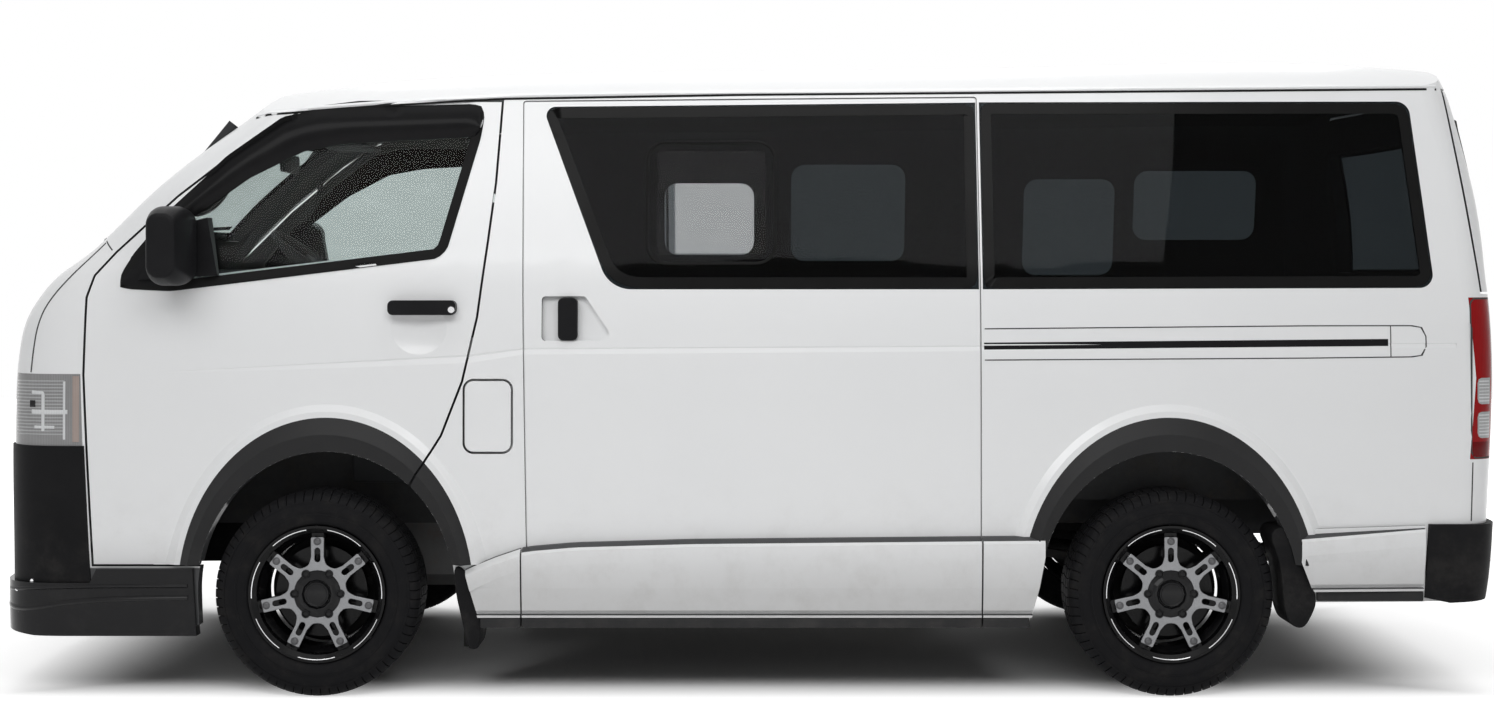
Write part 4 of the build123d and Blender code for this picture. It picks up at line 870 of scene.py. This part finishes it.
def add_nose_lines():
    """Edge of the hood down each front corner, mirror foot, and ridges of the lip."""
    for label, side in SIDES:
        shell = side_view(side, "body_shell", "hood")
        strip("seam", f"hood_edge_{label}", shell, smoothed(HOOD_EDGE), 0.005, 0.0004, 0.004, 90)
        strip("seam", f"cowl_seam_{label}", shell, COWL_SEAM, 0.004, 0.0004, 0.004, 12)
        door = side_view(side, f"front_{label}_door", f"front_{label}_glass")
        body = f"front_{label}_door_body"
        patch("plastic", f"mirror_foot_{label}", door, FOOT_LOW, FOOT_TOP, 0.006, 0.004, 0.001, 30, 12, body)
        lip = side_view(side, "front_lip", "front_bumper")
        for i, (path, width) in enumerate(LIP_RIDGES):
            strip("gloss", f"lip_ridge_{label}_{i}", lip, smoothed(path), width, 0.0005, 0.003, 60, 0.006)


FRIT_WIDTH = 0.032
END_FRIT_WIDTH = 0.050
# window outlines: (x, z, corner radius) on the sides, and (y, z) on the ends
SLIDING_GLASS = [(-0.594, 1.766, 0.02), (-0.393, 1.247, 0.080), (0.688, 1.247, 0.0), (0.688, 1.778, 0.0)]
QUARTER_GLASS = [(0.740, 1.247, 0.0), (2.060, 1.251, 0.030), (2.019, 1.781, 0.030), (0.740, 1.780, 0.0)]
WINDSCREEN = [(-0.676, 1.404), (0.676, 1.404), (0.612, 1.752), (-0.612, 1.752)]
TAILGATE_GLASS = [(-0.680, 1.265), (0.680, 1.265), (0.627, 1.730), (-0.627, 1.730)]


def add_glass_borders():
    """Black baked-on border round every fixed pane."""
    for label, side in SIDES:
        view = side_view(side, "side_glass")
        for name, outline in (("sliding_border", SLIDING_GLASS), ("quarter_border", QUARTER_GLASS)):
            path = rounded_path(outline)
            strip("frit", f"{name}_{label}", view, path, FRIT_WIDTH, 0.0006, 0.001, 220, closed=True)
    for name, way, node, outline, body in (
        ("windscreen_border", -1, "windscreen", WINDSCREEN, "body"),
        ("tailgate_border", 1, "tailgate_glass", TAILGATE_GLASS, "tailgate_body"),
    ):
        view = end_view(way, node)
        strip("frit", name, view, outline, END_FRIT_WIDTH, 0.0006, 0.001, 220, closed=True, body=body)


SLIDER_RIM = 0.025


def add_side_glass_trim():
    """Frame of the sliding pane on each sliding door's glass."""
    low = (SLIDER_X - SLIDER_HALF_X - SLIDER_RIM, SLIDER_Z - SLIDER_HALF_Z - SLIDER_RIM)
    high = (SLIDER_X + SLIDER_HALF_X + SLIDER_RIM, SLIDER_Z + SLIDER_HALF_Z + SLIDER_RIM)
    frame_line = rounded_outline(low, high, 0.055)
    for label, side in SIDES:
        view = side_view(side, "side_glass")
        strip("rubber", f"slider_frame_{label}", view, frame_line, 0.009, 0.002, 0.002, 120, 0.002, True)


RAIL_SLOT = [(0.722, 1.056), (1.938, 1.067)]
RAIL_CAP = [(1.946, 1.118), (1.946, 1.022)]
RAIL_PANEL = [
    (0.724, 1.108), (2.020, 1.120), (2.046, 1.110), (2.053, 1.085), (2.053, 1.050), (2.046, 1.030),
    (2.020, 1.022), (0.724, 1.014),
]


def add_door_rails():
    """Track of the sliding doors: its sunk panel lines, dark slot and end cap."""
    for label, side in SIDES:
        view = side_view(side, "body_shell")
        strip("plastic", f"rail_slot_{label}", view, RAIL_SLOT, 0.021, 0.0006, 0.004, 60, slot="rubber")
        strip("seam", f"rail_edge_{label}", view, smoothed(RAIL_PANEL, 1), 0.0035, 0.0005, 0.003, 90)
        strip("seam", f"rail_cap_{label}", view, RAIL_CAP, 0.0030, 0.0005, 0.003, 90)


HEADLIGHT_RIBS = 17
RIB_LOW = 0.790
RIB_PITCH = 0.0100
# lines of painted highlight along the headlight's reflector edges
REFLECTOR_GLINT_LINES = (
    ([(-2.112, 0.800), (-2.112, 0.915), (-2.150, 0.917)], 0.010),
    ([(-2.150, 0.858), (-2.035, 0.858)], 0.013),
    ([(-2.140, 0.812), (-2.075, 0.812)], 0.009),
    ([(-2.045, 0.775), (-2.045, 0.950)], 0.007),
)
BULB = ([(-2.157, 0.872), (-2.138, 0.872)], [(-2.157, 0.892), (-2.138, 0.892)])
MARKER = [(-2.010, 0.768), (-2.010, 0.966)]
TAIL_WINDOWS = ((0.779, 0.858), (0.881, 0.960))
TAIL_FLUTES = 7
TAIL_REFLECTOR = ([(2.192, 0.724), (2.246, 0.724)], [(2.192, 0.768), (2.250, 0.768)])
TAIL_RIM = [(2.270, 0.720), (2.200, 0.720), (2.188, 0.734), (2.188, 1.186), (2.200, 1.199), (2.262, 1.199)]
TAIL_SEAM = [(2.192, 0.706), (2.188, 0.530)]


def add_headlight(label, side):
    """Ribs, near-white strips painted as the highlights on the reflector edges, bulb and side marker of one
    headlight.
    """
    view = side_view(side, "headlights")
    for i in range(HEADLIGHT_RIBS):
        z = RIB_LOW + RIB_PITCH * i
        line = [(-2.215, z), (-2.045, z + 0.001)]
        strip("lens", f"headlight_rib_{label}_{i}", view, line, 0.0042, 0.0003, 0.001, 24, 0.0010)
    # painted highlights: near-white strips where the reflector edges catch the light
    for i, (path, width) in enumerate(REFLECTOR_GLINT_LINES):
        strip("bright", f"headlight_glint_{label}_{i}", view, path, width, 0.0010, 0.001, 30, 0.0014)
    patch("gloss", f"headlight_bulb_{label}", view, *BULB, 0.0006, 0.0014, 0.001, 8, 6)
    strip("reflector", f"headlight_strip_{label}", view, MARKER, 0.020, 0.0010, 0.002, 30, 0.002)


def add_tail_light(label, side):
    """Clear windows with flutes drawn as lines of painted highlight, reflector, rim and the seam below one
    tail light.
    """
    tail = side_view(side, "tail_lights")
    for i, (base, top) in enumerate(TAIL_WINDOWS):
        low = [(2.207, base + 0.016), (2.211, base + 0.004), (2.220, base), (2.252, base)]
        high = [(2.207, top - 0.016), (2.211, top - 0.004), (2.220, top), (2.254, top)]
        patch("lens", f"tail_clear_{label}_{i}", tail, low, high, 0.0015, 0.0006, 0.002, 24, 9)
        # painted highlights: a near-white line on each flute of the clear window
        for k in range(TAIL_FLUTES):
            z = base + (top - base) * (k + 1) / (TAIL_FLUTES + 1)
            line = [(2.212, z), (2.250, z)]
            strip("bright", f"tail_flute_{label}_{i}_{k}", tail, line, 0.004, 0.0016, 0.001, 16, 0.001)
    patch("deep_red", f"tail_reflector_{label}", tail, *TAIL_REFLECTOR, 0.001, 0.0006, 0.002, 12, 5)
    strip("seam", f"tail_rim_{label}", tail, TAIL_RIM, 0.005, 0.0004, 0.002, 90)
    shell = side_view(side, "body_shell")
    strip("seam", f"tail_seam_{label}", shell, TAIL_SEAM, 0.004, 0.0004, 0.003, 20)


# ---- wheels ----


TYRE_HALF = TYRE_WIDTH / 2
TREAD_EDGE = TYRE_HALF - 0.029
GROOVES = (0.052, 0.018, -0.018, -0.052)
GROOVE_DEPTH = 0.0075
SIPE_DEPTH = 0.0062
SHOULDER_DEPTH = 0.0035
SHOULDER_STEP = 0.0045
PITCHES = 68
# share of a pitch, and whether the tread is cut there
PITCH_CUTS = ((0.0, False), (0.44, False), (0.46, True), (0.54, True), (0.56, False), (0.98, False))
# outer half of the tyre's section, from its bead out: (radius, distance in from the side)
SIDE_WALL = (
    (0.2085, 0.016), (0.214, 0.011), (0.222, 0.0085), (0.232, 0.004), (0.240, 0.0022), (0.2405, 0.0005),
    (0.2455, 0.0005), (0.246, 0.002), (0.256, 0.0006), (0.266, 0.0004), (0.276, 0.0030), (0.2765, 0.0014),
    (0.281, 0.0026), (0.2815, 0.0042),
)
SHOULDER = ((0.290, 0.0075), (0.297, 0.012), (0.3035, 0.019), (0.3068, 0.027))
BEAD = [(0.2078, -TYRE_HALF + 0.022), (0.2078, TYRE_HALF - 0.022)]


def tread_section():
    """The tread from side to side as (radius, out from the tyre's middle), with its grooves."""
    outs = [TREAD_EDGE]
    for groove in GROOVES:
        outs += [groove + 0.0045, groove + 0.0035, groove - 0.0035, groove - 0.0045]
    outs.append(-TREAD_EDGE)
    section = []
    for out in outs:
        deep = any(abs(out - g) < 0.004 for g in GROOVES)
        radius = TYRE_RADIUS - 0.0002 - 0.0028 * (out / TYRE_HALF) ** 2
        section.append((radius - (GROOVE_DEPTH if deep else 0.0), out))
    return section


def add_tyre(name, centre, side, body):
    """Tyre with stepped sidewall rings and a blocked tread cut by grooves and sipes."""
    wall = [(r, TYRE_HALF - inset) for r, inset in SIDE_WALL]
    shoulder = [(r, TYRE_HALF - inset) for r, inset in SHOULDER]
    tread = tread_section()
    section = wall + shoulder + tread
    section += [(r, -out) for r, out in reversed(wall + shoulder)] + BEAD
    first = len(wall)
    last = first + len(tread) + 2 * len(shoulder)
    block_rows = range(first, last)
    shoulder_rows = [*block_rows[:len(shoulder)], *block_rows[-len(shoulder):]]
    points = []
    for k in range(PITCHES):
        for share, cut in PITCH_CUTS:
            for j, (radius, out) in enumerate(section):
                skew = 0.10 * math.sin(out * 60.0) if j in block_rows else 0.0
                angle = 2 * math.pi * (k + share + skew) / PITCHES
                depth = SIPE_DEPTH if cut and j in block_rows else 0.0
                if depth and j in shoulder_rows:
                    depth = SHOULDER_DEPTH
                    out -= math.copysign(SHOULDER_STEP, out)
                r = radius - depth
                place = (r * math.cos(angle), side * out, r * math.sin(angle))
                points.append([middle + offset for middle, offset in zip(centre, place)])
    faces = grid_faces(PITCHES * len(PITCH_CUTS), len(section), True, True)
    tyre = mesh_piece(name + "_tread", points, faces)
    keep(tyre, "tyre", body)
    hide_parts(name)


def outward(degrees):
    """Direction out from a wheel's centre."""
    angle = math.radians(degrees)
    return Vector((math.cos(angle), 0, math.sin(angle)))


def star_outline():
    """Edge of the machined star, (x, z) about the wheel's centre: seven arms joined by webs."""
    points = []
    for i in range(SPOKES):
        middle = math.radians(SPOKE_START + 360 / SPOKES * i)
        along_arm = Vector((math.cos(middle), math.sin(middle)))
        aside = Vector((-along_arm.y, along_arm.x))
        arm = (
            (0.112, -ARM_HALF), (0.168, -ARM_HALF - 0.001), (0.1705, -ARM_HALF + 0.002),
            (0.1705, ARM_HALF - 0.002), (0.168, ARM_HALF + 0.001), (0.112, ARM_HALF),
        )
        points += [along_arm * out + aside * off for out, off in arm]
        for share, reach in ((0.28, 0.0965), (0.36, 0.0905), (0.5, 0.0885), (0.64, 0.0905), (0.72, 0.0965)):
            angle = middle + math.radians(360 / SPOKES * share)
            points.append(Vector((math.cos(angle), math.sin(angle))) * reach)
    return points


def slot_outline(angle, start, end, half, steps=6):
    """Slot that runs outward at an angle, (x, z) about the wheel's centre."""
    way = Vector((math.cos(angle), math.sin(angle)))
    aside = Vector((-way.y, way.x))
    points = []
    for middle, first in ((end - half, -90), (start + half, 90)):
        for i in range(steps + 1):
            turn = math.radians(first + 180 * i / steps)
            points.append(way * (middle + half * math.cos(turn)) + aside * half * math.sin(turn))
    return points


def circle(radius, steps=40):
    """Closed circle of (x, z) points about the wheel's centre."""
    angles = [2 * math.pi * i / steps for i in range(steps)]
    return [Vector((math.cos(angle), math.sin(angle))) * radius for angle in angles]


def flat_plate(name, rings, thick, bevel=0.0):
    """Plate cut from rings of (x, z) points, the first its edge and the rest its holes, centred on y = 0."""
    curve = bpy.data.curves.new(name, "CURVE")
    curve.dimensions = "2D"
    curve.fill_mode = "BOTH"
    curve.extrude = thick / 2 - bevel
    curve.bevel_depth = bevel
    curve.bevel_resolution = 1
    curve.offset = -bevel
    for ring in rings:
        spline = curve.splines.new("POLY")
        spline.points.add(len(ring) - 1)
        for target, (x, z) in zip(spline.points, ring):
            target.co = (x, z, 0.0, 1.0)
        spline.use_cyclic_u = True
    plate = from_curve(name, curve)
    for v in plate.data.vertices:
        x, z, depth = v.co
        v.co = (x, depth, z)
    return plate


def add_wheel_details(end, label, side, place):
    """Machined star, bolts, nuts, cap and rim marks of one wheel, and the dust shield behind it."""
    wheel = f"{end}_{label}"
    body = wheel + "_wheel_body"
    centre = Vector((place, side * SPOKE_FACE_Y, TYRE_RADIUS))
    angles = [SPOKE_START + 360 / SPOKES * i for i in range(SPOKES)]
    rings = [star_outline(), circle(HUB_HOLE)]
    rings += [slot_outline(math.radians(a), *SLOT_ENDS, SLOT_HALF) for a in angles]
    star = flat_plate(wheel + "_star", rings, STAR_THICK, 0.0012)
    for v in star.data.vertices:
        v.co += centre
    keep(star, "machined", body, smooth=False)
    for i, angle in enumerate(angles):
        bolt = turned(f"{wheel}_bolt_{i}", BOLT_PROFILE, centre + outward(angle) * BOLT_CIRCLE, side, 20)
        keep(bolt, "bolt", body)
        rim = centre + Vector((0, side * RIM_MARK_OUT, 0))
        mark = turned(f"{wheel}_rim_mark_{i}", RIM_MARK_PROFILE, rim, side, 10, angle + 9, 33)
        keep(mark, "chrome", body)
    for i in range(STUDS):
        nut_place = centre + outward(360 / STUDS * i) * STUD_CIRCLE
        keep(turned(f"{wheel}_nut_{i}", NUT_PROFILE, nut_place, side, 24), "gloss", body)
    keep(turned(wheel + "_hub_collar", COLLAR_PROFILE, centre, side, 12), "gloss", body, smooth=False)
    keep(turned(wheel + "_cap", CAP_PROFILE, centre, side, 48), "gloss", body)
    carrier = f"front_{label}_knuckle_body" if end == "front" else "body"
    hub = (place, side * SHIELD_Y, TYRE_RADIUS)
    shield = turned(wheel + "_dust_shield", SHIELD_PROFILE, hub, side, 60)
    keep(shield, "plastic", carrier)


# ---- cab and load space ----


def cushion(name, low, high, crown, channels):
    """Sewn pad between two corners: crowned faces, pulled-in sides, channels across and a welt all round."""
    bm = bmesh.new()
    bmesh.ops.create_cube(bm, size=2.0)
    bmesh.ops.subdivide_edges(bm, edges=bm.edges[:], cuts=15, use_grid_fill=True)
    half = [(b - a) / 2 for a, b in zip(low, high)]
    middle = [(a + b) / 2 for a, b in zip(low, high)]
    thin = half.index(min(half))
    wide = [i for i in range(3) if i != thin]
    for v in bm.verts:
        p = v.co.copy()
        edge = max(abs(p[i]) for i in wide)
        round_off = 1.0 - 0.22 * max(0.0, edge - 0.72) / 0.28 * (1 - 0.3 * abs(p[thin]))
        swell = (1 - p[wide[0]] ** 2) * (1 - p[wide[1]] ** 2)
        q = p.copy()
        q[thin] = p[thin] * round_off * (1 - crown + crown * swell)
        pull = 1.0 - 0.035 * (1 - abs(p[thin])) - 0.05 * (p[wide[0]] * p[wide[1]]) ** 2
        for i in wide:
            q[i] = p[i] * pull
        for place in channels:
            dip = math.exp(-((p[wide[0]] - place) / 0.045) ** 2)
            if abs(p[thin]) > 0.99 and edge < 0.97:
                q[thin] -= math.copysign(0.10 * dip, p[thin])
        if abs(edge - 0.87) < 0.04 and abs(p[thin]) > 0.99:
            q[thin] -= math.copysign(0.06, p[thin])
        v.co = Vector([middle[i] + q[i] * half[i] for i in range(3)])
    obj = from_bmesh(name, bm)
    subdivided = obj.modifiers.new("subdivision", "SUBSURF")
    subdivided.levels = 1
    subdivided.render_levels = 1
    return obj


def add_seats():
    """Two cab seats: cushion, back and headrest each."""
    low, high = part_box("front_seats")
    half = SEAT_WIDTH / 2
    top = CUSHION_TOP
    for label, side in SIDES:
        y = side * SEAT_Y
        start = (low.x + 0.04, y - half + 0.03, low.z)
        end = (high.x - 0.10, y + half - 0.03, top - 0.10)
        base = rounded_block(f"seat_base_{label}", start, end, 0.012)
        keep(base, "dash")
        if label == "left":
            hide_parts("front_seats")
        # name, lowest corner, highest corner, crown, places of the sewn channels
        pads = (
            (
                "seat_cushion", (low.x + 0.01, y - half, top - 0.12),
                (high.x - 0.12, y + half, top), 0.25, (-0.3, 0.3),
            ),
            (
                "seat_back", (high.x - 0.15, y - half + 0.01, top - 0.04),
                (high.x - 0.03, y + half - 0.01, high.z - 0.17), 0.25, (-0.35, 0.35),
            ),
            (
                "headrest", (high.x - 0.13, y - 0.13, high.z - 0.15),
                (high.x - 0.04, y + 0.13, high.z - 0.005), 0.35, (),
            ),
        )
        for piece in [cushion(f"{name}_{label}", *shape) for name, *shape in pads]:
            keep(piece, "cloth")


def lining_panel(name, rings, side):
    """Flat trim panel cut from rings of (x, z) points, leaning in like the side of the van."""
    panel = flat_plate(name, rings, LINING_THICK)
    for v in panel.data.vertices:
        v.co.y = side * (LINING_Y - LINING_LEAN * max(0.0, v.co.z - LINING_BELT) + v.co.y)
    keep(panel, "lining", smooth=False)


LINING = [(-0.55, 1.20), (2.05, 1.20), (2.02, 1.78), (-0.60, 1.78)]
FAR_PANES = (
    ((-0.303, 1.346), (0.035, 1.615)),
    ((0.175, 1.323), (0.604, 1.684)),
    ((1.052, 1.270), (1.394, 1.630)),
    ((1.466, 1.403), (1.925, 1.661)),
)
LOAD_BOARD = [(-0.55, 0.80), (0.85, 0.80), (0.85, 1.215), (-0.55, 1.215)]


def add_linings():
    """Inside trim of the load space: window panel on the right, and a low board on each side."""
    holes = [rounded_outline(low, high, 0.05) for low, high in FAR_PANES]
    lining_panel("window_lining_right", [LINING, *holes], 1)
    for label, side in SIDES:
        lining_panel(f"load_board_{label}", [LOAD_BOARD], side)


MIRROR_STEM = [(-1.556, 0, 1.675), (-1.560, 0, 1.700), (-1.585, 0, 1.725), (-1.600, 0, 1.735)]
SCREEN_POST = [(-1.935, 0.690, 1.285), (-1.760, 0.672, 1.510), (-1.585, 0.640, 1.738)]
GRAB_HANDLE = [(-1.700, 1.462), (-1.655, 1.468), (-1.600, 1.530), (-1.575, 1.600), (-1.600, 1.622)]
GRAB_HANDLE_Y = 0.655
SUN_VISOR_Y = 0.36
SUN_VISOR_HALF = 0.19


def add_cab_fittings():
    """Inside mirror, screen post trims, grab handles and sun visors."""
    keep(rounded_block("inside_mirror", (-1.566, -0.115, 1.618), (-1.545, 0.115, 1.682), 0.009), "dash")
    keep(round_bar("inside_mirror_stem", MIRROR_STEM, 0.007), "dash")
    for label, side in SIDES:
        post = [(x, side * y, z) for x, y, z in SCREEN_POST]
        keep(round_bar(f"screen_post_trim_{label}", post, 0.019), "dash")
        grip = [(x, side * GRAB_HANDLE_Y, z) for x, z in GRAB_HANDLE]
        keep(round_bar(f"grab_handle_{label}", grip, 0.012), "dash")
        y = side * SUN_VISOR_Y
        low = (-1.50, y - SUN_VISOR_HALF, 1.722)
        high = (-1.34, y + SUN_VISOR_HALF, 1.736)
        keep(rounded_block(f"sun_visor_{label}", low, high, 0.006), "dash")


# ---- front and rear ----

GRILLE_BARS = 5
INTAKE_BARS = 6
# outline of a sheet as its low and its high line
FRONT_PLATE = ([(-0.180, 0.622), (0.180, 0.622)], [(-0.180, 0.732), (0.180, 0.732)])
REAR_PLATE = ([(-0.255, 0.655), (0.255, 0.655)], [(-0.255, 0.755), (0.255, 0.755)])
FOG_RECESS = ([(-2.276, 0.420), (-2.240, 0.414)], [(-2.276, 0.545), (-2.240, 0.545)])
FRONT_WIPERS = (
    ([(0.06, 1.382), (0.28, 1.412), (0.40, 1.436)], [(0.12, 1.420), (0.62, 1.446)]),
    ([(-0.60, 1.382), (-0.38, 1.412), (-0.26, 1.436)], [(-0.54, 1.438), (-0.04, 1.428)]),
)
REAR_WIPER = ([(0.02, 1.262), (-0.14, 1.285), (-0.25, 1.330)], [(-0.06, 1.300), (-0.44, 1.372)])
GARNISH = [(-0.34, 1.190), (0.34, 1.190)]
GRIP = [(-0.11, 1.168), (0.11, 1.168)]
STOP_LAMP = [(-0.13, 1.776), (0.13, 1.776)]
BUMPER_SCREWS = ((-2.150, 0.347), (-2.200, 0.320))


def add_wiper(name, end, view, lines, arm_proud, blade_proud, crown, body):
    """Arm and blade of one wiper. name and end go before and after the word arm or blade."""
    arm, blade = lines
    arm = smoothed(arm)
    strip("plastic", f"{name}arm{end}", view, arm, 0.016, arm_proud, -0.001, 40, crown, body=body)
    strip("plastic", f"{name}blade{end}", view, blade, 0.013, blade_proud, -0.001, 40, crown, body=body)


def add_front():
    """Grille bars, intake mesh, blank number plate, wipers, bumper screws and fog lamp recesses."""
    face = end_view(-1, "grille")
    for i in range(GRILLE_BARS):
        z = 0.800 + 0.034 * i
        look = "chrome" if i == GRILLE_BARS - 1 else "gloss"
        line = [(-0.415, z), (0.415, z)]
        strip(look, f"grille_bar_{i}", face, line, 0.013, 0.002, 0.004, 50, 0.007, slot="gloss_black")
    keep(rounded_block("intake_panel", (-2.236, -0.560, 0.370), (-2.222, 0.560, 0.700), 0.004), "plastic")
    for i in range(INTAKE_BARS):
        z = 0.400 + 0.030 * i
        route = [(-2.240, -0.50, z), (-2.244, 0.0, z), (-2.240, 0.50, z)]
        keep(round_bar(f"intake_bar_{i}", route, 0.004), "rubber")
    patch("plate", "front_plate", end_view(-1, "front_bumper"), *FRONT_PLATE, 0.0004, 0.004, 0.002, 30, 8)
    screen = end_view(-1, "windscreen")
    for i, lines in enumerate(FRONT_WIPERS):
        add_wiper("wiper_", f"_{i}", screen, lines, 0.014, 0.005, 0.006, "body")
    for label, side in SIDES:
        view = side_view(side, "front_bumper", "front_lip")
        for i, place in enumerate(BUMPER_SCREWS):
            keep(turned(f"bumper_screw_{label}_{i}", SCREW_PROFILE, spot(view, *place), side, 16), "chrome")
        patch("gloss", f"fog_recess_{label}", view, *FOG_RECESS, 0.001, 0.0006, 0.002, 8, 8)


def add_rear():
    """Tailgate garnish and handle, blank plate, stop lamp, wiper, and the bumper's step and reflectors."""
    gate = end_view(1, "tailgate")
    body = "tailgate_body"
    strip("paint", "tailgate_garnish", gate, GARNISH, 0.050, 0.0005, 0.004, 40, 0.006, body=body)
    strip("plastic", "tailgate_grip", gate, GRIP, 0.016, 0.002, 0.002, 20, 0.003, body=body)
    patch("plate", "rear_plate", gate, *REAR_PLATE, 0.0004, 0.002, 0.002, 30, 8, body)
    strip("red", "high_stop_lamp", gate, STOP_LAMP, 0.024, 0.003, 0.004, 30, 0.006, body=body)
    add_wiper("rear_wiper_", "", end_view(1, "tailgate_glass"), REAR_WIPER, 0.008, 0.004, 0.004, body)
    bumper = end_view(1, "rear_bumper")
    strip("rubber", "bumper_step", bumper, [(-0.62, 0.506), (0.62, 0.506)], 0.018, 0.0006, 0.004, 50, 0.001)
    for label, side in SIDES:
        line = [(side * 0.66, 0.400), (side * 0.76, 0.400)]
        strip("deep_red", f"bumper_reflector_{label}", bumper, line, 0.036, 0.001, 0.004, 16, 0.003)


# ---- putting it together ----


def grey(level, blue=0.0):
    """Grey colour, with a little more blue where asked."""
    return level, level, level + blue


# look: (material name, darkest, lightest, then any of roughness, grain, grain depth, dirt and specular)
PLASTICS = {
    "plastic": ("black_plastic", grey(0.006, 0.0005), grey(0.014, 0.001)),
    "handle": ("handle_plastic", grey(0.008, 0.001), grey(0.016, 0.001), 0.35),
    "rubber": ("seal_rubber", grey(0.008), grey(0.016), 0.6, 500.0),
    "seam": ("seam_shadow", grey(0.05), grey(0.09), 0.7, 500.0),
    "frit": ("glass_frit", grey(0.006), grey(0.010), 0.2, 600.0, 0.00003, 0.0),
    "smoke": ("smoked_visor", grey(0.006, 0.001), grey(0.012), 0.22, 300.0, 0.00005, 0.0),
    "flare": ("flare_plastic", grey(0.014, 0.0005), grey(0.026, 0.001), 0.42, 900.0, 0.00018, 0.15, 0.16),
    "plate": ("blank_plate", grey(0.52, -0.02), grey(0.60, -0.02), 0.4, 300.0, 0.00005),
    "dash": ("dash_moulding", (0.030, 0.031, 0.033), (0.048, 0.049, 0.051), 0.6, 700.0, 0.00025, 0.0),
    "lining": ("lining_board", grey(0.014, 0.001), grey(0.022, 0.001), 0.75, 400.0, 0.0003, 0.0),
}
# look: (material name, colour, deeper colour, then any of coat and specular)
LENSES = {
    "lamp": ("headlight_lens", grey(0.22), grey(0.34, 0.005)),
    # near-white colour for painted highlights on headlight reflector edges and tail light flutes
    "bright": ("painted_reflector_glint", (0.62, 0.63, 0.64), (0.82, 0.83, 0.84)),
    "lens": ("clear_ribs", (0.36, 0.365, 0.37), (0.50, 0.505, 0.51)),
    "reflector": ("side_marker", (0.34, 0.27, 0.24), (0.42, 0.35, 0.32)),
    "red": ("tail_lens", (0.27, 0.001, 0.002), (0.37, 0.003, 0.004), 0.02, 0.1),
    "deep_red": ("tail_reflector", (0.13, 0.0, 0.001), (0.20, 0.002, 0.003), 0.02, 0.1),
}
# look: (material name, darkest, lightest, roughness, then rust)
METALS = {
    "bolt": ("bolt_steel", grey(0.05, 0.002), grey(0.13, 0.005), 0.35),
    "chrome": ("bright_metal", grey(0.62, 0.01), grey(0.80, 0.01), 0.15),
    "iron": ("cast_block", grey(0.10), grey(0.18), 0.6, 0.4),
    "exhaust": ("exhaust_pipe", (0.30, 0.28, 0.26), (0.45, 0.43, 0.40), 0.4, 0.5),
}


def make_materials():
    """Every look by its short name."""
    looks = {
        "paint": van_paint(),
        "gloss": gloss_black(),
        "clear": window_glass("door_glass", (0.60, 0.65, 0.64), (0.64, 0.69, 0.68)),
        "privacy": side_glass_tint(),
        "tailgate_privacy": window_glass("tailgate_glass_tint", PRIVACY_TINT, PRIVACY_STREAK),
        "tyre": tyre_rubber(),
        "alloy": wheel_black("alloy_black"),
        "machined": machined_face("machined_metal"),
        "chassis": chassis_paint("chassis_coat", grey(0.010, 0.001), grey(0.030)),
        "floor": chassis_paint("floor_coat", (0.030, 0.031, 0.032), grey(0.060, 0.002)),
        "cloth": woven_cloth("seat_weave", (0.030, 0.031, 0.034), (0.055, 0.056, 0.060)),
    }
    for make, rows in ((moulded_plastic, PLASTICS), (lamp_lens, LENSES), (bare_metal, METALS)):
        looks |= {look: make(*row) for look, row in rows.items()}
    return looks


# the look of each CAD node, by the first of these words that its name has
NODE_LOOKS = (
    ("tailgate_glass", "tailgate_privacy"), ("side_glass", "privacy"), ("windscreen", "clear"),
    ("_glass", "clear"), ("handle", "handle"), ("mirror", "handle"), ("flare", "flare"),
    ("bumper", "plastic"), ("grille", "plastic"), ("mudflaps", "rubber"), ("front_lip", "gloss"),
    ("headlights", "lamp"), ("tail_lights", "red"), ("steering_wheel", "dash"), ("dashboard", "dash"),
    ("_wheel", "alloy"), ("_tyre", "tyre"), ("seats", "cloth"), ("engine", "iron"), ("exhaust", "exhaust"),
    ("floor_pan", "floor"), ("crossmember", "chassis"), ("knuckle", "chassis"), ("rear_axle", "chassis"),
    ("drive_shaft", "chassis"), ("fuel_tank", "chassis"), ("", "paint"),
)


def finish_nodes():
    """Gives each CAD node its material."""
    for name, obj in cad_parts.items():
        look = next(look for word, look in NODE_LOOKS if word in name)
        if not obj.data.materials:
            obj.data.materials.append(MATS[look])
        for i in range(len(obj.data.materials)):
            obj.data.materials[i] = MATS[look]


build_studio()
build_camera()
MATS = make_materials()
finish_nodes()
add_gutters()
add_door_trim()
add_side_glass_trim()
add_glass_borders()
add_door_rails()
for lamp_label, lamp_side in SIDES:
    add_headlight(lamp_label, lamp_side)
    add_tail_light(lamp_label, lamp_side)
add_nose_lines()
add_skirts()
add_mudflaps()
for wheel_end, wheel_place in (("front", FRONT_AXLE), ("rear", REAR_AXLE)):
    for wheel_label, wheel_side in SIDES:
        hub = (wheel_place, wheel_side * (TYRE_OUTER_Y - TYRE_HALF), TYRE_RADIUS)
        wheel = f"{wheel_end}_{wheel_label}"
        add_tyre(wheel + "_tyre", hub, wheel_side, wheel + "_wheel_body")
        add_wheel_details(wheel_end, wheel_label, wheel_side, wheel_place)
add_seats()
add_linings()
add_cab_fittings()
add_front()
add_rear()
